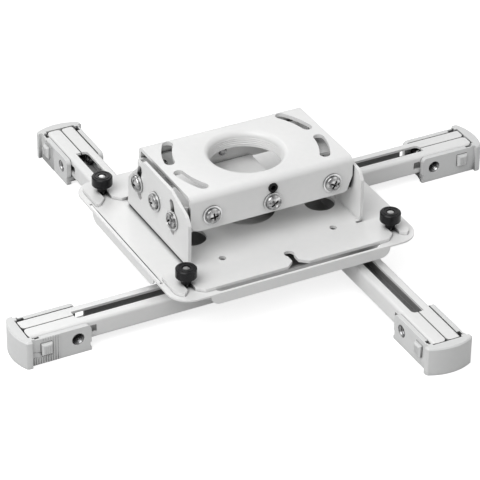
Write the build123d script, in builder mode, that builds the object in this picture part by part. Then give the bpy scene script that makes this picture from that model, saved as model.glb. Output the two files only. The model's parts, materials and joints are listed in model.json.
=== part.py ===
from build123d import *
from math import atan2, cos, degrees, hypot, radians, tan
import os

os.makedirs("parts", exist_ok=True)

# Millimetres. The origin is on the pipe axis, on the ceiling face of the ceiling bracket.
# X runs to the right along the front edge, Y to the back and Z up.

# Fits shared by all pieces
slide_gap = 0.3  # between faces that move past each other
run_gap = 0.05  # all round a pin in its hole
cross_w = 1.1  # width of the arms of a cross recess

# Ceiling bracket, one folded sheet
ceil_thk = 2.5
ceil_w = 109.0
ceil_d = 69.0
ceil_h = 23.5
ceil_bend = 4.0
ceil_corner = 6.5
ceil_taper_h = 10.5
ceil_taper_w = 4.0
ceil_taper_round = 3.0

# Pipe collar drawn down out of the ceiling bracket
pipe_r = 22.4
collar_flare = 3.5
collar_h = 10.0

# Arc slots round the collar
arc_r = 47.5
arc_w = 6.5
arc_back_from = 10.7
arc_back_to = 35.7
arc_front_from = -5.8
arc_front_to = -30.3

# Screws and washers of the two adjustments
screw_r = 2.5
screw_head_r = 5.0
screw_head_h = 2.4
screw_head_slope = 1.5
screw_head_drop = 1.1
screw_end = 1.2  # how far a screw stands past the sheet that it is threaded into
recess_l = 5.4
recess_h = 1.3
washer_r = 6.25
washer_thk = 1.0

# Roll adjustment, about an axis along Y
roll_z = -16.1
roll_lock_x = 40.4
roll_lock_up = 2.0
roll_play = 3.4  # degrees from the middle to the end of a slot

# Set screw for the pipe
grub_r = 3.0
grub_z = -6.5
grub_out = 1.0
grub_len = 12.6
grub_socket = 3.2
grub_socket_h = 3.0

# Roll bracket, inside the ceiling bracket's flanges and the tray's ears
roll_thk = 2.0
roll_top = -7.0
roll_low_top = -10.4
roll_low_half = 30.0
roll_bottom = -24.6
roll_web_half = 19.0
roll_web_back = 28.6
roll_lip_w = 13.0
roll_lip_from = -12.0
roll_lip_to = 5.0
roll_dip_to = 22.0
roll_dip_z = -12.5

# Tilt tray
tray_thk = 2.0
tray_top = -40.5
ear_out_left = 60.2
ear_out_right = 57.7
ear_bend = 2.6
ear_front = -43.0
ear_shoulder_y = -46.3
ear_shoulder_z = -17.5
ear_knee_y = -39.5
ear_knee_z = -7.5
ear_crest_front = -19.0
ear_crest_back = 17.0
ear_crest_left_z = -0.4
ear_crest_right_z = -4.6
ear_slope_y = 37.4
ear_slope_z = -21.9
ear_back = 38.5
ear_round = 5.0
ear_relief = 2.0
tray_front = -68.5
tray_back = 69.5
tab_out = 78.5
tab_front_end = -45.0
tab_back_start = 44.0
tab_corner = 8.0
tab_round = 2.0
tray_side_step = 2.8  # edge of the floor between the tabs, in from an ear's outer face
hole_small_r = 2.25
hole_small_x = 37.5
hole_small_y = -42.9
hole_big_r = 9.4
hole_big_x = 43.9
hole_big_y = 14.4
hole_mid_r = 18.5

# Tilt adjustment, about an axis along X
tilt_z = -18.7
tilt_lock_r = 23.4
tilt_slot_up = 26.0
tilt_slot_down = 20.7

# V-mouthed slots for the knobs and the matching hook slot in the middle of the front edge
knob_x = 68.7
knob_y = 57.0
mouth_half = 7.2
mouth_front_depth = 4.3
mouth_back_depth = 5.0
neck_half = 2.5
hook_y = -56.4
hook_r = 3.1
hook_neck = 2.1

# Interface plate
plate_thk = 1.2
plate_half_x = 82.5
plate_half_y = 73.0
plate_corner = 14.0
window_half_x = 55.5
window_half_y = 71.3
window_corner = 4.0
skirt_front_half = 60.0
skirt_front_z = -49.9
skirt_side_half = 42.0
skirt_side_z = -49.0
skirt_corner = 6.0
slit_w = 1.6
slit_half = 49.0

# Hub pan under the interface plate
pan_thk = 1.6
pan_half = 58.0
pan_corner = 12.0
pan_bottom = -56.2
pan_draft = 25.0
pan_flange_half = 42.0
pan_flange_out = 73.0
pan_dip = 3.3
pan_dip_half = 48.0

# Studs and knobs
stud_r = 2.1
stud_top = -30.3
stud_head_r = 3.4
stud_head_h = 1.1
knob_r = 6.45
knob_top = -29.8
knob_grip_h = 6.6
knob_chamfer = 0.7
knob_hub_r = 3.1
bush_r = 3.4
bush_h = 4.2
bush_up = 0.9  # lower face of the bush above the underside of the grip

# Legs, folded box section with a slot along the top
leg_w = 19.0
leg_h = 12.7
leg_wall = 1.6
leg_bend = 2.0
leg_len = 150.0
leg_seam = 0.5
slot_w = 6.0
slot_from_lip = 32.5
slot_from_inner = 10.0
slot_round = 2.8
side_window_from = 42.9
side_window_to = 22.0
side_window_top = 3.5
side_window_h = 5.3
cross_hole_r = 4.2
leg_row = 36.8
leg_col = 50.0
reach_fl = 164.3
reach_fr = 156.0
reach_bl = 160.5
reach_br = 179.5

# Clamp bolts that hold the legs to the hub pan
clamp_col = 50.0
clamp_row = 40.0
clamp_r = 2.5
clamp_head_l = 12.0
clamp_head_h = 3.0
clamp_nut_flats = 8.0
clamp_nut_h = 4.0
clamp_end = 1.0

# End caps
cheek_len = 38.0
cheek_thk = 3.1
cheek_top = -57.0
cheek_round = 3.0
cap_bottom = -74.5
cap_floor_thk = 3.0
block_half = 15.2
block_back = 2.0
block_side = 3.5
block_bow = 7.5
block_top = -56.2
block_round = 0.8
block_gap = 0.9  # between the end of the leg and the block
step_h = 3.4
step_top = -68.8
step_depth = 0.8
bush_hole_r = 3.95
bush_hole_u = 29.5
bush_hole_z = -64.6
bush_bore_r = 3.175
bush_sunk = 0.8
pocket_u = 3.1
pocket_l = 4.5
pocket_w = 1.7
pocket_h = 9.0

# Push buttons of the end caps
button_u = 9.2
button_z = -64.3
button_l = 6.8
button_h = 7.8
button_out = 2.3
button_travel = 1.4
button_seat = 0.9
button_round = 1.0
tooth_l = 5.0
tooth_end = 8.4

# Faces that follow from the sizes above
roll_y = ceil_d / 2 - ceil_thk - slide_gap
ear_out = {-1: ear_out_left, 1: ear_out_right}
ear_in = {side: ear_out[side] - tray_thk for side in (-1, 1)}
ear_width = ear_out_left + ear_out_right
ear_middle = (ear_out_right - ear_out_left) / 2
roll_x = {side: ear_in[side] - slide_gap for side in (-1, 1)}
roll_width = roll_x[-1] + roll_x[1]
tray_low = tray_top - tray_thk
plate_top = tray_low
plate_low = plate_top - plate_thk
leg_top = pan_bottom - slide_gap
leg_low = leg_top - leg_h
cheek_in = leg_w / 2 + slide_gap
cheek_out = cheek_in + cheek_thk


def outward(x, y, along):
    """Frame of a leg: its x runs outward along the leg, from the end of the leg's lips."""
    return Plane(origin=(x, y, 0), x_dir=along, z_dir=(0, 0, 1))


fl_end = outward(-reach_fl, -leg_row, (-1, 0, 0))
fr_end = outward(leg_col, -reach_fr, (0, -1, 0))
br_end = outward(reach_br, leg_row, (1, 0, 0))
bl_end = outward(-leg_col, reach_bl, (0, 1, 0))

# Where the washers lie: one frame for each screw, z pointing out of the flange or ear
roll_seat_y = ceil_d / 2 + slide_gap
roll_pivot_seats = [
    Plane(origin=(0, -roll_seat_y, roll_z), x_dir=(1, 0, 0), z_dir=(0, -1, 0)),
    Plane(origin=(0, roll_seat_y, roll_z), x_dir=(-1, 0, 0), z_dir=(0, 1, 0)),
]
roll_lock_seats = [
    Plane(origin=(x, side * roll_seat_y, roll_z + roll_lock_up), x_dir=(-side, 0, 0), z_dir=(0, side, 0))
    for x in (-roll_lock_x, roll_lock_x)
    for side in (-1, 1)
]
tilt_pivot_seats = [
    Plane(origin=(side * (ear_out[side] + slide_gap), 0, tilt_z), x_dir=(0, side, 0), z_dir=(side, 0, 0))
    for side in (-1, 1)
]
tilt_lock_seats = [
    Plane(origin=(side * (ear_out[side] + slide_gap), y, tilt_z), x_dir=(0, side, 0), z_dir=(side, 0, 0))
    for y in (-tilt_lock_r, tilt_lock_r)
    for side in (-1, 1)
]


def curved_slot(centre, radius, start, sweep, width):
    """Slot with round ends along an arc; start and sweep are in degrees."""
    with BuildSketch() as slot:
        with BuildLine():
            CenterArc(centre, radius, start, sweep)
            offset(amount=width / 2)
        make_face()
    return slot.sketch


# Ceiling bracket: the folded channel
with BuildPart() as ceiling_bracket:
    with BuildSketch(Plane.YZ) as channel:
        with Locations((0, -ceil_h / 2)):
            Rectangle(ceil_d, ceil_h)
        fillet(channel.vertices().group_by(Axis.Y)[-1], ceil_bend)
        with Locations((0, -ceil_thk)):
            RectangleRounded(
                ceil_d - 2 * ceil_thk, 2 * ceil_h, ceil_bend - ceil_thk, align=(Align.CENTER, Align.MAX),
                mode=Mode.SUBTRACT,
            )
    extrude(amount=ceil_w / 2, both=True)
    for diagonal in (1, -1):
        ends = ceiling_bracket.edges().filter_by(Axis.Y).group_by(Axis.Z)[0]
        end = ends.sort_by(lambda edge: diagonal * (edge.center().X + edge.center().Y))[0]
        fillet(end, ceil_corner)
    for side in (1, -1):
        low_face = ceiling_bracket.faces().filter_by(Axis.Z).group_by(Axis.Z)[0].sort_by(Axis.Y)[0 if side > 0 else -1]
        tip = low_face.edges().filter_by(Axis.Y).sort_by(Axis.X)[-1 if side > 0 else 0]
        chamfer(tip, length=ceil_taper_w, length2=ceil_taper_h, reference=low_face)
        low_face = ceiling_bracket.faces().filter_by(Axis.Z).group_by(Axis.Z)[0].sort_by(Axis.Y)[0 if side > 0 else -1]
        tip = low_face.edges().filter_by(Axis.Y).sort_by(Axis.X)[-1 if side > 0 else 0]
        fillet(tip, ceil_taper_round)

    # Hole in the sheet, then the collar that is drawn down from its edge
    with BuildSketch(Plane.XY):
        Circle(pipe_r + collar_flare)
    extrude(amount=-ceil_thk, mode=Mode.SUBTRACT)
    with BuildSketch(Plane.XZ) as collar_wall:
        with BuildLine():
            brim = (pipe_r + collar_flare, 0)
            throat = (pipe_r, -collar_flare)
            RadiusArc(brim, throat, -collar_flare)
            Line(throat, (pipe_r, -collar_h))
            Line((pipe_r, -collar_h), (pipe_r + ceil_thk, -collar_h))
            Line((pipe_r + ceil_thk, -collar_h), (pipe_r + ceil_thk, -collar_flare))
            RadiusArc((pipe_r + ceil_thk, -collar_flare), (pipe_r + collar_flare, -ceil_thk), collar_flare - ceil_thk)
            Line((pipe_r + collar_flare, -ceil_thk), brim)
        make_face()
    revolve(axis=Axis.Z)

    # Arc slots
    with BuildSketch(Plane.XY):
        for start, end in ((arc_back_from, arc_back_to), (arc_front_from, arc_front_to)):
            add(curved_slot((0, 0), arc_r, start, end - start, arc_w))
            add(curved_slot((0, 0), arc_r, 180 - start, start - end, arc_w))
    extrude(amount=-ceil_thk, mode=Mode.SUBTRACT)

    # Pivot holes and arc slots of the roll adjustment, through both flanges
    lock_turn = degrees(atan2(roll_lock_up, roll_lock_x))
    with BuildSketch(Plane.XZ.offset(ceil_d)):
        with Locations((0, roll_z)):
            Circle(screw_r + run_gap)
        lock_arc_r = hypot(roll_lock_x, roll_lock_up)
        for middle in (lock_turn, 180 - lock_turn):
            add(curved_slot((0, roll_z), lock_arc_r, middle - roll_play, 2 * roll_play, 2 * (screw_r + run_gap)))
    extrude(amount=-2 * ceil_d, mode=Mode.SUBTRACT)

    # Hole for the set screw, through the front flange and the collar
    with BuildSketch(Plane.XZ.offset(ceil_d)):
        with Locations((0, grub_z)):
            Circle(grub_r + run_gap)
    extrude(amount=-ceil_d, mode=Mode.SUBTRACT)

# Set screw
with BuildPart() as pipe_set_screw:
    with BuildSketch(Plane.XZ.offset(ceil_d / 2 + grub_out)):
        with Locations((0, grub_z)):
            Circle(grub_r)
    extrude(amount=-grub_len)
    with BuildSketch(Plane.XZ.offset(ceil_d / 2 + grub_out)):
        with Locations((0, grub_z)):
            RegularPolygon(grub_socket / 2, 6, major_radius=False)
    extrude(amount=-grub_socket_h, mode=Mode.SUBTRACT)


def pan_head_screw(shank):
    """Cross-recessed pan-head screw; z = 0 is under its head and its shank points down."""
    with BuildPart() as screw:
        with BuildSketch():
            Circle(screw_head_r)
        extrude(amount=screw_head_h)
        crown = screw.faces().sort_by(Axis.Z)[-1]
        chamfer(crown.edges(), length=screw_head_slope, length2=screw_head_drop, reference=crown)
        with BuildSketch(Plane.XY.offset(screw_head_h)):
            Rectangle(recess_l, cross_w)
            Rectangle(cross_w, recess_l)
        extrude(amount=-recess_h, mode=Mode.SUBTRACT)
        with BuildSketch():
            Circle(screw_r)
        extrude(amount=-shank)
    return screw.part


def plain_washer():
    """Washer lying on z = 0."""
    with BuildPart() as washer:
        with BuildSketch():
            Circle(washer_r)
            Circle(screw_r + run_gap, mode=Mode.SUBTRACT)
        extrude(amount=washer_thk)
    return washer.part


roll_screw = pan_head_screw(washer_thk + slide_gap + ceil_thk + slide_gap + roll_thk + screw_end)
tilt_screw = pan_head_screw(washer_thk + slide_gap + tray_thk + slide_gap + roll_thk + screw_end)

with BuildPart(*[seat.offset(washer_thk) for seat in roll_pivot_seats]) as roll_pivot_screws:
    add(roll_screw)
with BuildPart(*[seat.offset(washer_thk) for seat in roll_lock_seats]) as roll_lock_screws:
    add(roll_screw)
with BuildPart(*roll_pivot_seats, *roll_lock_seats) as roll_washers:
    add(plain_washer())
with BuildPart(*[seat.offset(washer_thk) for seat in tilt_pivot_seats]) as tilt_pivot_screws:
    add(tilt_screw)
with BuildPart(*[seat.offset(washer_thk) for seat in tilt_lock_seats]) as tilt_lock_screws:
    add(tilt_screw)
with BuildPart(*tilt_pivot_seats, *tilt_lock_seats) as tilt_washers:
    add(plain_washer())

# Roll bracket: four walls, a web across the middle and a lip on each side wall
with BuildPart() as roll_bracket:
    with BuildSketch(Plane.XY.offset(roll_bottom)):
        with Locations((ear_middle, 0)):
            RectangleRounded(roll_width, 2 * roll_y, roll_thk + 1)
            Rectangle(roll_width - 2 * roll_thk, 2 * (roll_y - roll_thk), mode=Mode.SUBTRACT)
    extrude(amount=roll_top - roll_bottom)
    with BuildSketch(Plane.XY.offset(roll_bottom)):
        with Locations((0, roll_web_back)):
            Rectangle(2 * roll_web_half, roll_web_back + roll_y - roll_thk / 2, align=(Align.CENTER, Align.MAX))
    extrude(amount=roll_thk)
    for side in (-1, 1):
        with BuildSketch(Plane.XY.offset(roll_top)):
            with Locations((side * (roll_x[side] - roll_lip_w / 2), side * (roll_lip_from + roll_lip_to) / 2)):
                Rectangle(roll_lip_w, roll_lip_to - roll_lip_from)
        extrude(amount=-roll_thk)
    # Lower middle of the long walls, clear of the set screw, and the dips behind the lips
    with BuildSketch(Plane.XZ) as low_middle:
        with Locations((0, roll_low_top)):
            Rectangle(2 * roll_low_half, roll_top - roll_bottom, align=(Align.CENTER, Align.MIN))
    extrude(amount=2 * roll_y, both=True, mode=Mode.SUBTRACT)
    for side in (-1, 1):
        with BuildSketch(Plane.YZ) as dip:
            with Locations(((roll_dip_to + roll_lip_to) / 2, roll_dip_z)):
                Rectangle(roll_dip_to - roll_lip_to, roll_top - roll_bottom, align=(Align.CENTER, Align.MIN))
        extrude(amount=side * roll_width, mode=Mode.SUBTRACT)
    for seat in roll_pivot_seats + roll_lock_seats + tilt_pivot_seats + tilt_lock_seats:
        with BuildSketch(seat):
            Circle(screw_r + run_gap)
        extrude(amount=-(ceil_thk + 3 * roll_thk), mode=Mode.SUBTRACT)


def ear_outline(crest_z):
    """Outline of an ear from the side, down to the underside of the tray."""
    with BuildSketch() as ear:
        with BuildLine():
            Polyline(
                (ear_front, tray_low),
                (ear_front, tray_top),
                (ear_shoulder_y, ear_shoulder_z),
                (ear_knee_y, ear_knee_z),
                (ear_crest_front, crest_z),
                (ear_crest_back, crest_z),
                (ear_slope_y, ear_slope_z),
                (ear_back, tray_top),
                (ear_back, tray_low),
                close=True,
            )
        make_face()
        corners = ear.vertices().filter_by(lambda corner: corner.Y > tray_top + 1)
        fillet(corners.filter_by(lambda corner: corner.X < 0), ear_round)
        corners = ear.vertices().filter_by(lambda corner: corner.Y > tray_top + 1 and corner.X > 0)
        fillet(corners, ear_round / 2)
    return ear.sketch


# Tilt tray: a channel for the two ears, trimmed to their outlines, then the floor and its tabs
with BuildPart() as tilt_tray:
    with BuildSketch(Plane.XZ.offset(-ear_front)) as fold:
        with Locations((ear_middle, tray_low)):
            Rectangle(ear_width, -tray_low + ear_round, align=(Align.CENTER, Align.MIN))
        fillet(fold.vertices().group_by(Axis.Y)[0], ear_bend)
        with Locations((ear_middle, tray_top)):
            Rectangle(ear_width - 2 * tray_thk, -2 * tray_low, align=(Align.CENTER, Align.MIN), mode=Mode.SUBTRACT)
    extrude(amount=-(ear_back - ear_front))
    extrude(to_extrude=fold.face(), amount=-(ear_shoulder_y - ear_front))
    for side in (-1, 1):
        with BuildSketch(Plane.YZ):
            Rectangle(4 * tray_back, -4 * tray_low)
            add(ear_outline(ear_crest_left_z if side < 0 else ear_crest_right_z), mode=Mode.SUBTRACT)
        extrude(amount=side * ear_width, mode=Mode.SUBTRACT)
    with BuildSketch(Plane.XY.offset(tray_low)) as floor:
        with BuildLine():
            Polyline(
                (-tab_out, tray_front),
                (tab_out, tray_front),
                (tab_out, tab_front_end),
                (ear_out_right - tray_side_step, tab_front_end),
                (ear_out_right - tray_side_step, tab_back_start),
                (tab_out, tab_back_start),
                (tab_out, tray_back),
                (-tab_out, tray_back),
                (-tab_out, tab_back_start),
                (tray_side_step - ear_out_left, tab_back_start),
                (tray_side_step - ear_out_left, tab_front_end),
                (-tab_out, tab_front_end),
                close=True,
            )
        make_face()
        tips = floor.vertices().filter_by(lambda corner: abs(corner.X) > tab_out - 0.1)
        fillet(tips.group_by(Axis.Y)[0] + tips.group_by(Axis.Y)[-1], tab_corner)
        fillet(tips.group_by(Axis.Y)[1] + tips.group_by(Axis.Y)[-2], tab_round)
        # Knob slots, open at the front edge of each tab
        for side in (-1, 1):
            for edge_y, depth, seat_y in (
                (tray_front, mouth_front_depth, -knob_y),
                (tab_back_start, mouth_back_depth, knob_y),
            ):
                with BuildLine():
                    Polyline(
                        (side * knob_x - mouth_half, edge_y),
                        (side * knob_x - neck_half, edge_y + depth),
                        (side * knob_x - neck_half, seat_y),
                        (side * knob_x + neck_half, seat_y),
                        (side * knob_x + neck_half, edge_y + depth),
                        (side * knob_x + mouth_half, edge_y),
                        close=True,
                    )
                make_face(mode=Mode.SUBTRACT)
                with Locations((side * knob_x, seat_y)):
                    Circle(neck_half, mode=Mode.SUBTRACT)
        with BuildLine():
            Polyline(
                (-mouth_half, tray_front),
                (-hook_neck, tray_front + mouth_front_depth),
                (-hook_neck, hook_y),
                (hook_neck, hook_y),
                (hook_neck, tray_front + mouth_front_depth),
                (mouth_half, tray_front),
                close=True,
            )
        make_face(mode=Mode.SUBTRACT)
        with Locations((0, hook_y)):
            Circle(hook_r, mode=Mode.SUBTRACT)
        # Relief notches at the ends of the ears' bends
        with Locations(*[
            (side * (ear_in[side] - ear_relief / 2), y)
            for side in (-1, 1)
            for y in (ear_front - ear_relief / 2, ear_back + ear_relief / 2)
        ]):
            Rectangle(2 * ear_relief, ear_relief, mode=Mode.SUBTRACT)
    extrude(amount=tray_thk)
    # Holes through the floor
    with BuildSketch(Plane.XY.offset(tray_low)):
        with Locations((-hole_small_x, hole_small_y), (hole_small_x, hole_small_y)):
            Circle(hole_small_r)
        with GridLocations(2 * hole_big_x, 2 * hole_big_y, 2, 2):
            Circle(hole_big_r)
        Circle(hole_mid_r)
    extrude(amount=tray_thk, mode=Mode.SUBTRACT)
    for seat in tilt_pivot_seats:
        with BuildSketch(seat):
            Circle(screw_r + run_gap)
        extrude(amount=-(3 * tray_thk), mode=Mode.SUBTRACT)
    with BuildSketch(Plane.YZ.offset(-ear_width)):
        tilt_sweep = tilt_slot_up + tilt_slot_down
        for start in (-tilt_slot_down, 180 - tilt_slot_up):
            add(curved_slot((0, tilt_z), tilt_lock_r, start, tilt_sweep, 2 * (screw_r + run_gap)))
    extrude(amount=2 * ear_width, mode=Mode.SUBTRACT)

# Interface plate
with BuildPart() as interface_plate:
    with BuildSketch(Plane.XY.offset(plate_low)):
        RectangleRounded(2 * plate_half_x, 2 * plate_half_y, plate_corner)
    extrude(amount=plate_thk)
    for side in (-1, 1):
        with BuildSketch(Plane.XZ.offset(side * plate_half_y)) as skirt:
            with Locations((0, skirt_front_z)):
                Rectangle(2 * skirt_front_half, plate_top - skirt_front_z, align=(Align.CENTER, Align.MIN))
            fillet(skirt.vertices().group_by(Axis.Y)[0], skirt_corner)
        extrude(amount=-side * plate_thk)
        with BuildSketch(Plane.YZ.offset(side * plate_half_x)) as skirt:
            with Locations((0, skirt_side_z)):
                Rectangle(2 * skirt_side_half, plate_top - skirt_side_z, align=(Align.CENTER, Align.MIN))
            fillet(skirt.vertices().group_by(Axis.Y)[0], skirt_corner)
        extrude(amount=-side * plate_thk)
    with BuildSketch(Plane.XY.offset(plate_low)):
        RectangleRounded(2 * window_half_x, 2 * window_half_y, window_corner)
        with Locations((-(plate_half_x - plate_thk - slit_w / 2), 0)):
            Rectangle(slit_w, 2 * slit_half)
        with GridLocations(2 * knob_x, 2 * knob_y, 2, 2):
            Circle(stud_r + run_gap)
    extrude(amount=plate_thk, mode=Mode.SUBTRACT)

# Studs, pressed in from below
with BuildPart() as lock_studs:
    with BuildSketch(Plane.XY.offset(plate_low)):
        with GridLocations(2 * knob_x, 2 * knob_y, 2, 2):
            Circle(stud_head_r)
    extrude(amount=-stud_head_h)
    with BuildSketch(Plane.XY.offset(plate_low)):
        with GridLocations(2 * knob_x, 2 * knob_y, 2, 2):
            Circle(stud_r)
    extrude(amount=stud_top - plate_low)

# Hub pan
with BuildPart() as hub_pan:
    with BuildSketch(Plane.XY.offset(pan_bottom)):
        RectangleRounded(2 * pan_half, 2 * pan_half, pan_corner)
    extrude(amount=plate_low - pan_bottom, taper=-pan_draft)
    pan_rim = hub_pan.part.bounding_box().max.X
    inner_half = pan_half + pan_thk * (tan(radians(pan_draft)) - 1 / cos(radians(pan_draft)))
    with BuildSketch(Plane.XY.offset(pan_bottom + pan_thk)):
        RectangleRounded(2 * inner_half, 2 * inner_half, pan_corner)
    extrude(amount=plate_low - pan_bottom, taper=-pan_draft, mode=Mode.SUBTRACT)
    with BuildSketch(Plane.XY.offset(plate_low)):
        for side in (-1, 1):
            with Locations((side * (pan_rim + pan_flange_out) / 2, 0)):
                Rectangle(pan_flange_out - pan_rim + pan_thk, 2 * pan_flange_half)
    extrude(amount=-pan_thk)
    with BuildSketch(Plane.XZ) as dips:
        with Locations((0, plate_low)):
            Rectangle(2 * pan_dip_half, 2 * pan_dip)
        fillet(dips.vertices().group_by(Axis.Y)[0], pan_thk)
    extrude(amount=2 * pan_half, both=True, mode=Mode.SUBTRACT)
    with BuildSketch(Plane.XY.offset(pan_bottom)):
        with Locations(
            (-clamp_col, -leg_row), (clamp_col, leg_row), (leg_col, -clamp_row), (-leg_col, clamp_row)
        ):
            Circle(clamp_r + run_gap)
    extrude(amount=pan_thk, mode=Mode.SUBTRACT)


def latch_leg():
    """Leg of the front left and back right, with the round corner of its slot on the +Y side."""
    with BuildPart() as leg:
        with BuildSketch(Plane.YZ) as section:
            with Locations((0, leg_top - leg_h / 2)):
                RectangleRounded(leg_w, leg_h, leg_bend)
                RectangleRounded(
                    leg_w - 2 * leg_wall, leg_h - 2 * leg_wall, leg_bend - leg_wall, mode=Mode.SUBTRACT
                )
            with Locations((0, leg_top)):
                Rectangle(leg_seam, 3 * leg_wall, mode=Mode.SUBTRACT)
        extrude(amount=-leg_len)
        with BuildSketch(Plane.XY.offset(leg_top)) as slot:
            with Locations((-slot_from_lip, 0)):
                Rectangle(leg_len - slot_from_lip - slot_from_inner, slot_w, align=(Align.MAX, Align.CENTER))
            fillet(slot.vertices().group_by(Axis.X)[-1].sort_by(Axis.Y)[-1], slot_round)
        extrude(amount=-1.5 * leg_wall, mode=Mode.SUBTRACT)
        with BuildSketch(Plane.XZ) as windows:
            with Locations((-side_window_from, leg_top - side_window_top)):
                Rectangle(side_window_from - side_window_to, side_window_h, align=(Align.MIN, Align.MAX))
            fillet(windows.vertices(), leg_wall / 2)
            with Locations((-bush_hole_u, bush_hole_z)):
                Circle(cross_hole_r)
            with Locations((-button_u, button_z)):
                Rectangle(tooth_l + 2 * slide_gap, tooth_l + 2 * slide_gap)
        extrude(amount=leg_w, both=True, mode=Mode.SUBTRACT)
    return leg.part


leg_shape = latch_leg()
leg_shape_mirrored = leg_shape.mirror(Plane.XZ)
with BuildPart(fl_end) as leg_fl:
    add(leg_shape)
with BuildPart(fr_end) as leg_fr:
    add(leg_shape_mirrored)
with BuildPart(bl_end) as leg_bl:
    add(leg_shape_mirrored)
with BuildPart(br_end) as leg_br:
    add(leg_shape)


def clamp_bolt():
    """Bolt with a long head inside the leg; its frame has z = 0 and x along the leg."""
    head_top = leg_top - leg_wall - slide_gap
    with BuildPart() as bolt:
        with BuildSketch(Plane.XY.offset(head_top)):
            RectangleRounded(clamp_head_l, leg_w - 2 * leg_wall - 2 * slide_gap, leg_bend)
        extrude(amount=-clamp_head_h)
        with BuildSketch(Plane.XY.offset(head_top)):
            Circle(clamp_r)
        extrude(amount=pan_bottom + pan_thk + slide_gap + clamp_nut_h + clamp_end - head_top)
    return bolt.part


def clamp_nut():
    """Nut on the hub pan's floor."""
    with BuildPart() as nut:
        with BuildSketch(Plane.XY.offset(pan_bottom + pan_thk + slide_gap)):
            RegularPolygon(clamp_nut_flats / 2, 6, major_radius=False)
            Circle(clamp_r + run_gap, mode=Mode.SUBTRACT)
        extrude(amount=clamp_nut_h)
    return nut.part


bolt_shape = clamp_bolt()
nut_shape = clamp_nut()
clamp_places = {
    "fl": outward(-clamp_col, -leg_row, (-1, 0, 0)),
    "fr": outward(leg_col, -clamp_row, (0, -1, 0)),
    "bl": outward(-leg_col, clamp_row, (0, 1, 0)),
    "br": outward(clamp_col, leg_row, (1, 0, 0)),
}
with BuildPart(clamp_places["fl"]) as clamp_bolt_fl:
    add(bolt_shape)
with BuildPart(clamp_places["fr"]) as clamp_bolt_fr:
    add(bolt_shape)
with BuildPart(clamp_places["bl"]) as clamp_bolt_bl:
    add(bolt_shape)
with BuildPart(clamp_places["br"]) as clamp_bolt_br:
    add(bolt_shape)
with BuildPart(clamp_places["fl"]) as clamp_nut_fl:
    add(nut_shape)
with BuildPart(clamp_places["fr"]) as clamp_nut_fr:
    add(nut_shape)
with BuildPart(clamp_places["bl"]) as clamp_nut_bl:
    add(nut_shape)
with BuildPart(clamp_places["br"]) as clamp_nut_br:
    add(nut_shape)


def moulded_cap():
    """End cap in the frame of its leg's end."""
    with BuildPart() as cap:
        with BuildSketch(Plane.YZ.offset(-cheek_len)):
            with Locations((0, cap_bottom)):
                Rectangle(2 * cheek_out, cheek_top - cap_bottom, align=(Align.CENTER, Align.MIN))
        extrude(amount=cheek_len)
        cheek_ends = cap.edges().filter_by(Axis.Y).group_by(Axis.X)[0].sort_by(Axis.Z)[-1]
        fillet(cheek_ends, cheek_round)
        # End block with its bowed face
        with BuildSketch(Plane.XY.offset(cap_bottom)) as block:
            with BuildLine():
                Polyline(
                    (block_side, -block_half), (-block_back, -block_half), (-block_back, block_half),
                    (block_side, block_half)
                )
                ThreePointArc((block_side, block_half), (block_bow, 0), (block_side, -block_half))
            make_face()
            chamfer(block.vertices().group_by(Axis.X)[-1], block_round)
        extrude(amount=block_top - cap_bottom)
        crown = cap.faces().sort_by(Axis.Z)[-1].edges()
        chamfer(crown.filter_by(lambda edge: edge.center().X > slide_gap), block_round)
        # Seat of the leg, open above
        with BuildSketch(Plane.YZ.offset(block_gap)):
            with Locations((0, leg_low - slide_gap)):
                Rectangle(2 * cheek_in, leg_h * 2, align=(Align.CENTER, Align.MIN))
        extrude(amount=-2 * cheek_len, mode=Mode.SUBTRACT)
        # Hollow under the floor between the cheeks
        with BuildSketch(Plane.YZ.offset(-block_back)):
            with Locations((0, leg_low - slide_gap - cap_floor_thk)):
                Rectangle(2 * cheek_in, leg_h, align=(Align.CENTER, Align.MAX))
        extrude(amount=-cheek_len, mode=Mode.SUBTRACT)
        for side in (-1, 1):
            cheek_face = Plane(origin=(0, side * cheek_out, 0), x_dir=(side, 0, 0), z_dir=(0, -side, 0))
            # Step low on the inner end, cross hole for the bush, button pocket and tooth hole
            with BuildSketch(cheek_face):
                with Locations((-side * cheek_len, step_top)):
                    Rectangle(2 * step_depth, step_h, align=(Align.CENTER, Align.MAX))
                with Locations((-side * bush_hole_u, bush_hole_z)):
                    Circle(bush_hole_r)
                with Locations((-side * button_u, button_z)):
                    Rectangle(tooth_l + 2 * slide_gap, tooth_l + 2 * slide_gap)
            extrude(amount=2 * cheek_thk, both=True, mode=Mode.SUBTRACT)
            with BuildSketch(cheek_face):
                with Locations((-side * button_u, button_z)):
                    Rectangle(button_l + 2 * slide_gap, button_h + 2 * slide_gap)
            extrude(amount=cheek_thk - button_seat, mode=Mode.SUBTRACT)
            # Pocket behind the end block
            with BuildSketch(Plane.XY.offset(block_top)):
                with Locations((-pocket_u, side * (cheek_in + pocket_w / 2 + slide_gap))):
                    Rectangle(pocket_l, pocket_w)
            extrude(amount=-pocket_h, mode=Mode.SUBTRACT)
    return cap.part


cap_shape = moulded_cap()
with BuildPart(fl_end) as end_cap_fl:
    add(cap_shape)
with BuildPart(fr_end) as end_cap_fr:
    add(cap_shape)
with BuildPart(bl_end) as end_cap_bl:
    add(cap_shape)
with BuildPart(br_end) as end_cap_br:
    add(cap_shape)


def cross_bushes():
    """The two threaded bushes of a cap."""
    with BuildPart() as bushes:
        for side in (-1, 1):
            with BuildSketch(Plane.XZ.offset(side * (cheek_out - bush_sunk))):
                with Locations((-bush_hole_u, bush_hole_z)):
                    Circle(bush_hole_r - run_gap)
                    Circle(bush_bore_r, mode=Mode.SUBTRACT)
            extrude(amount=-side * (cheek_thk - bush_sunk))
    return bushes.part


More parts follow.
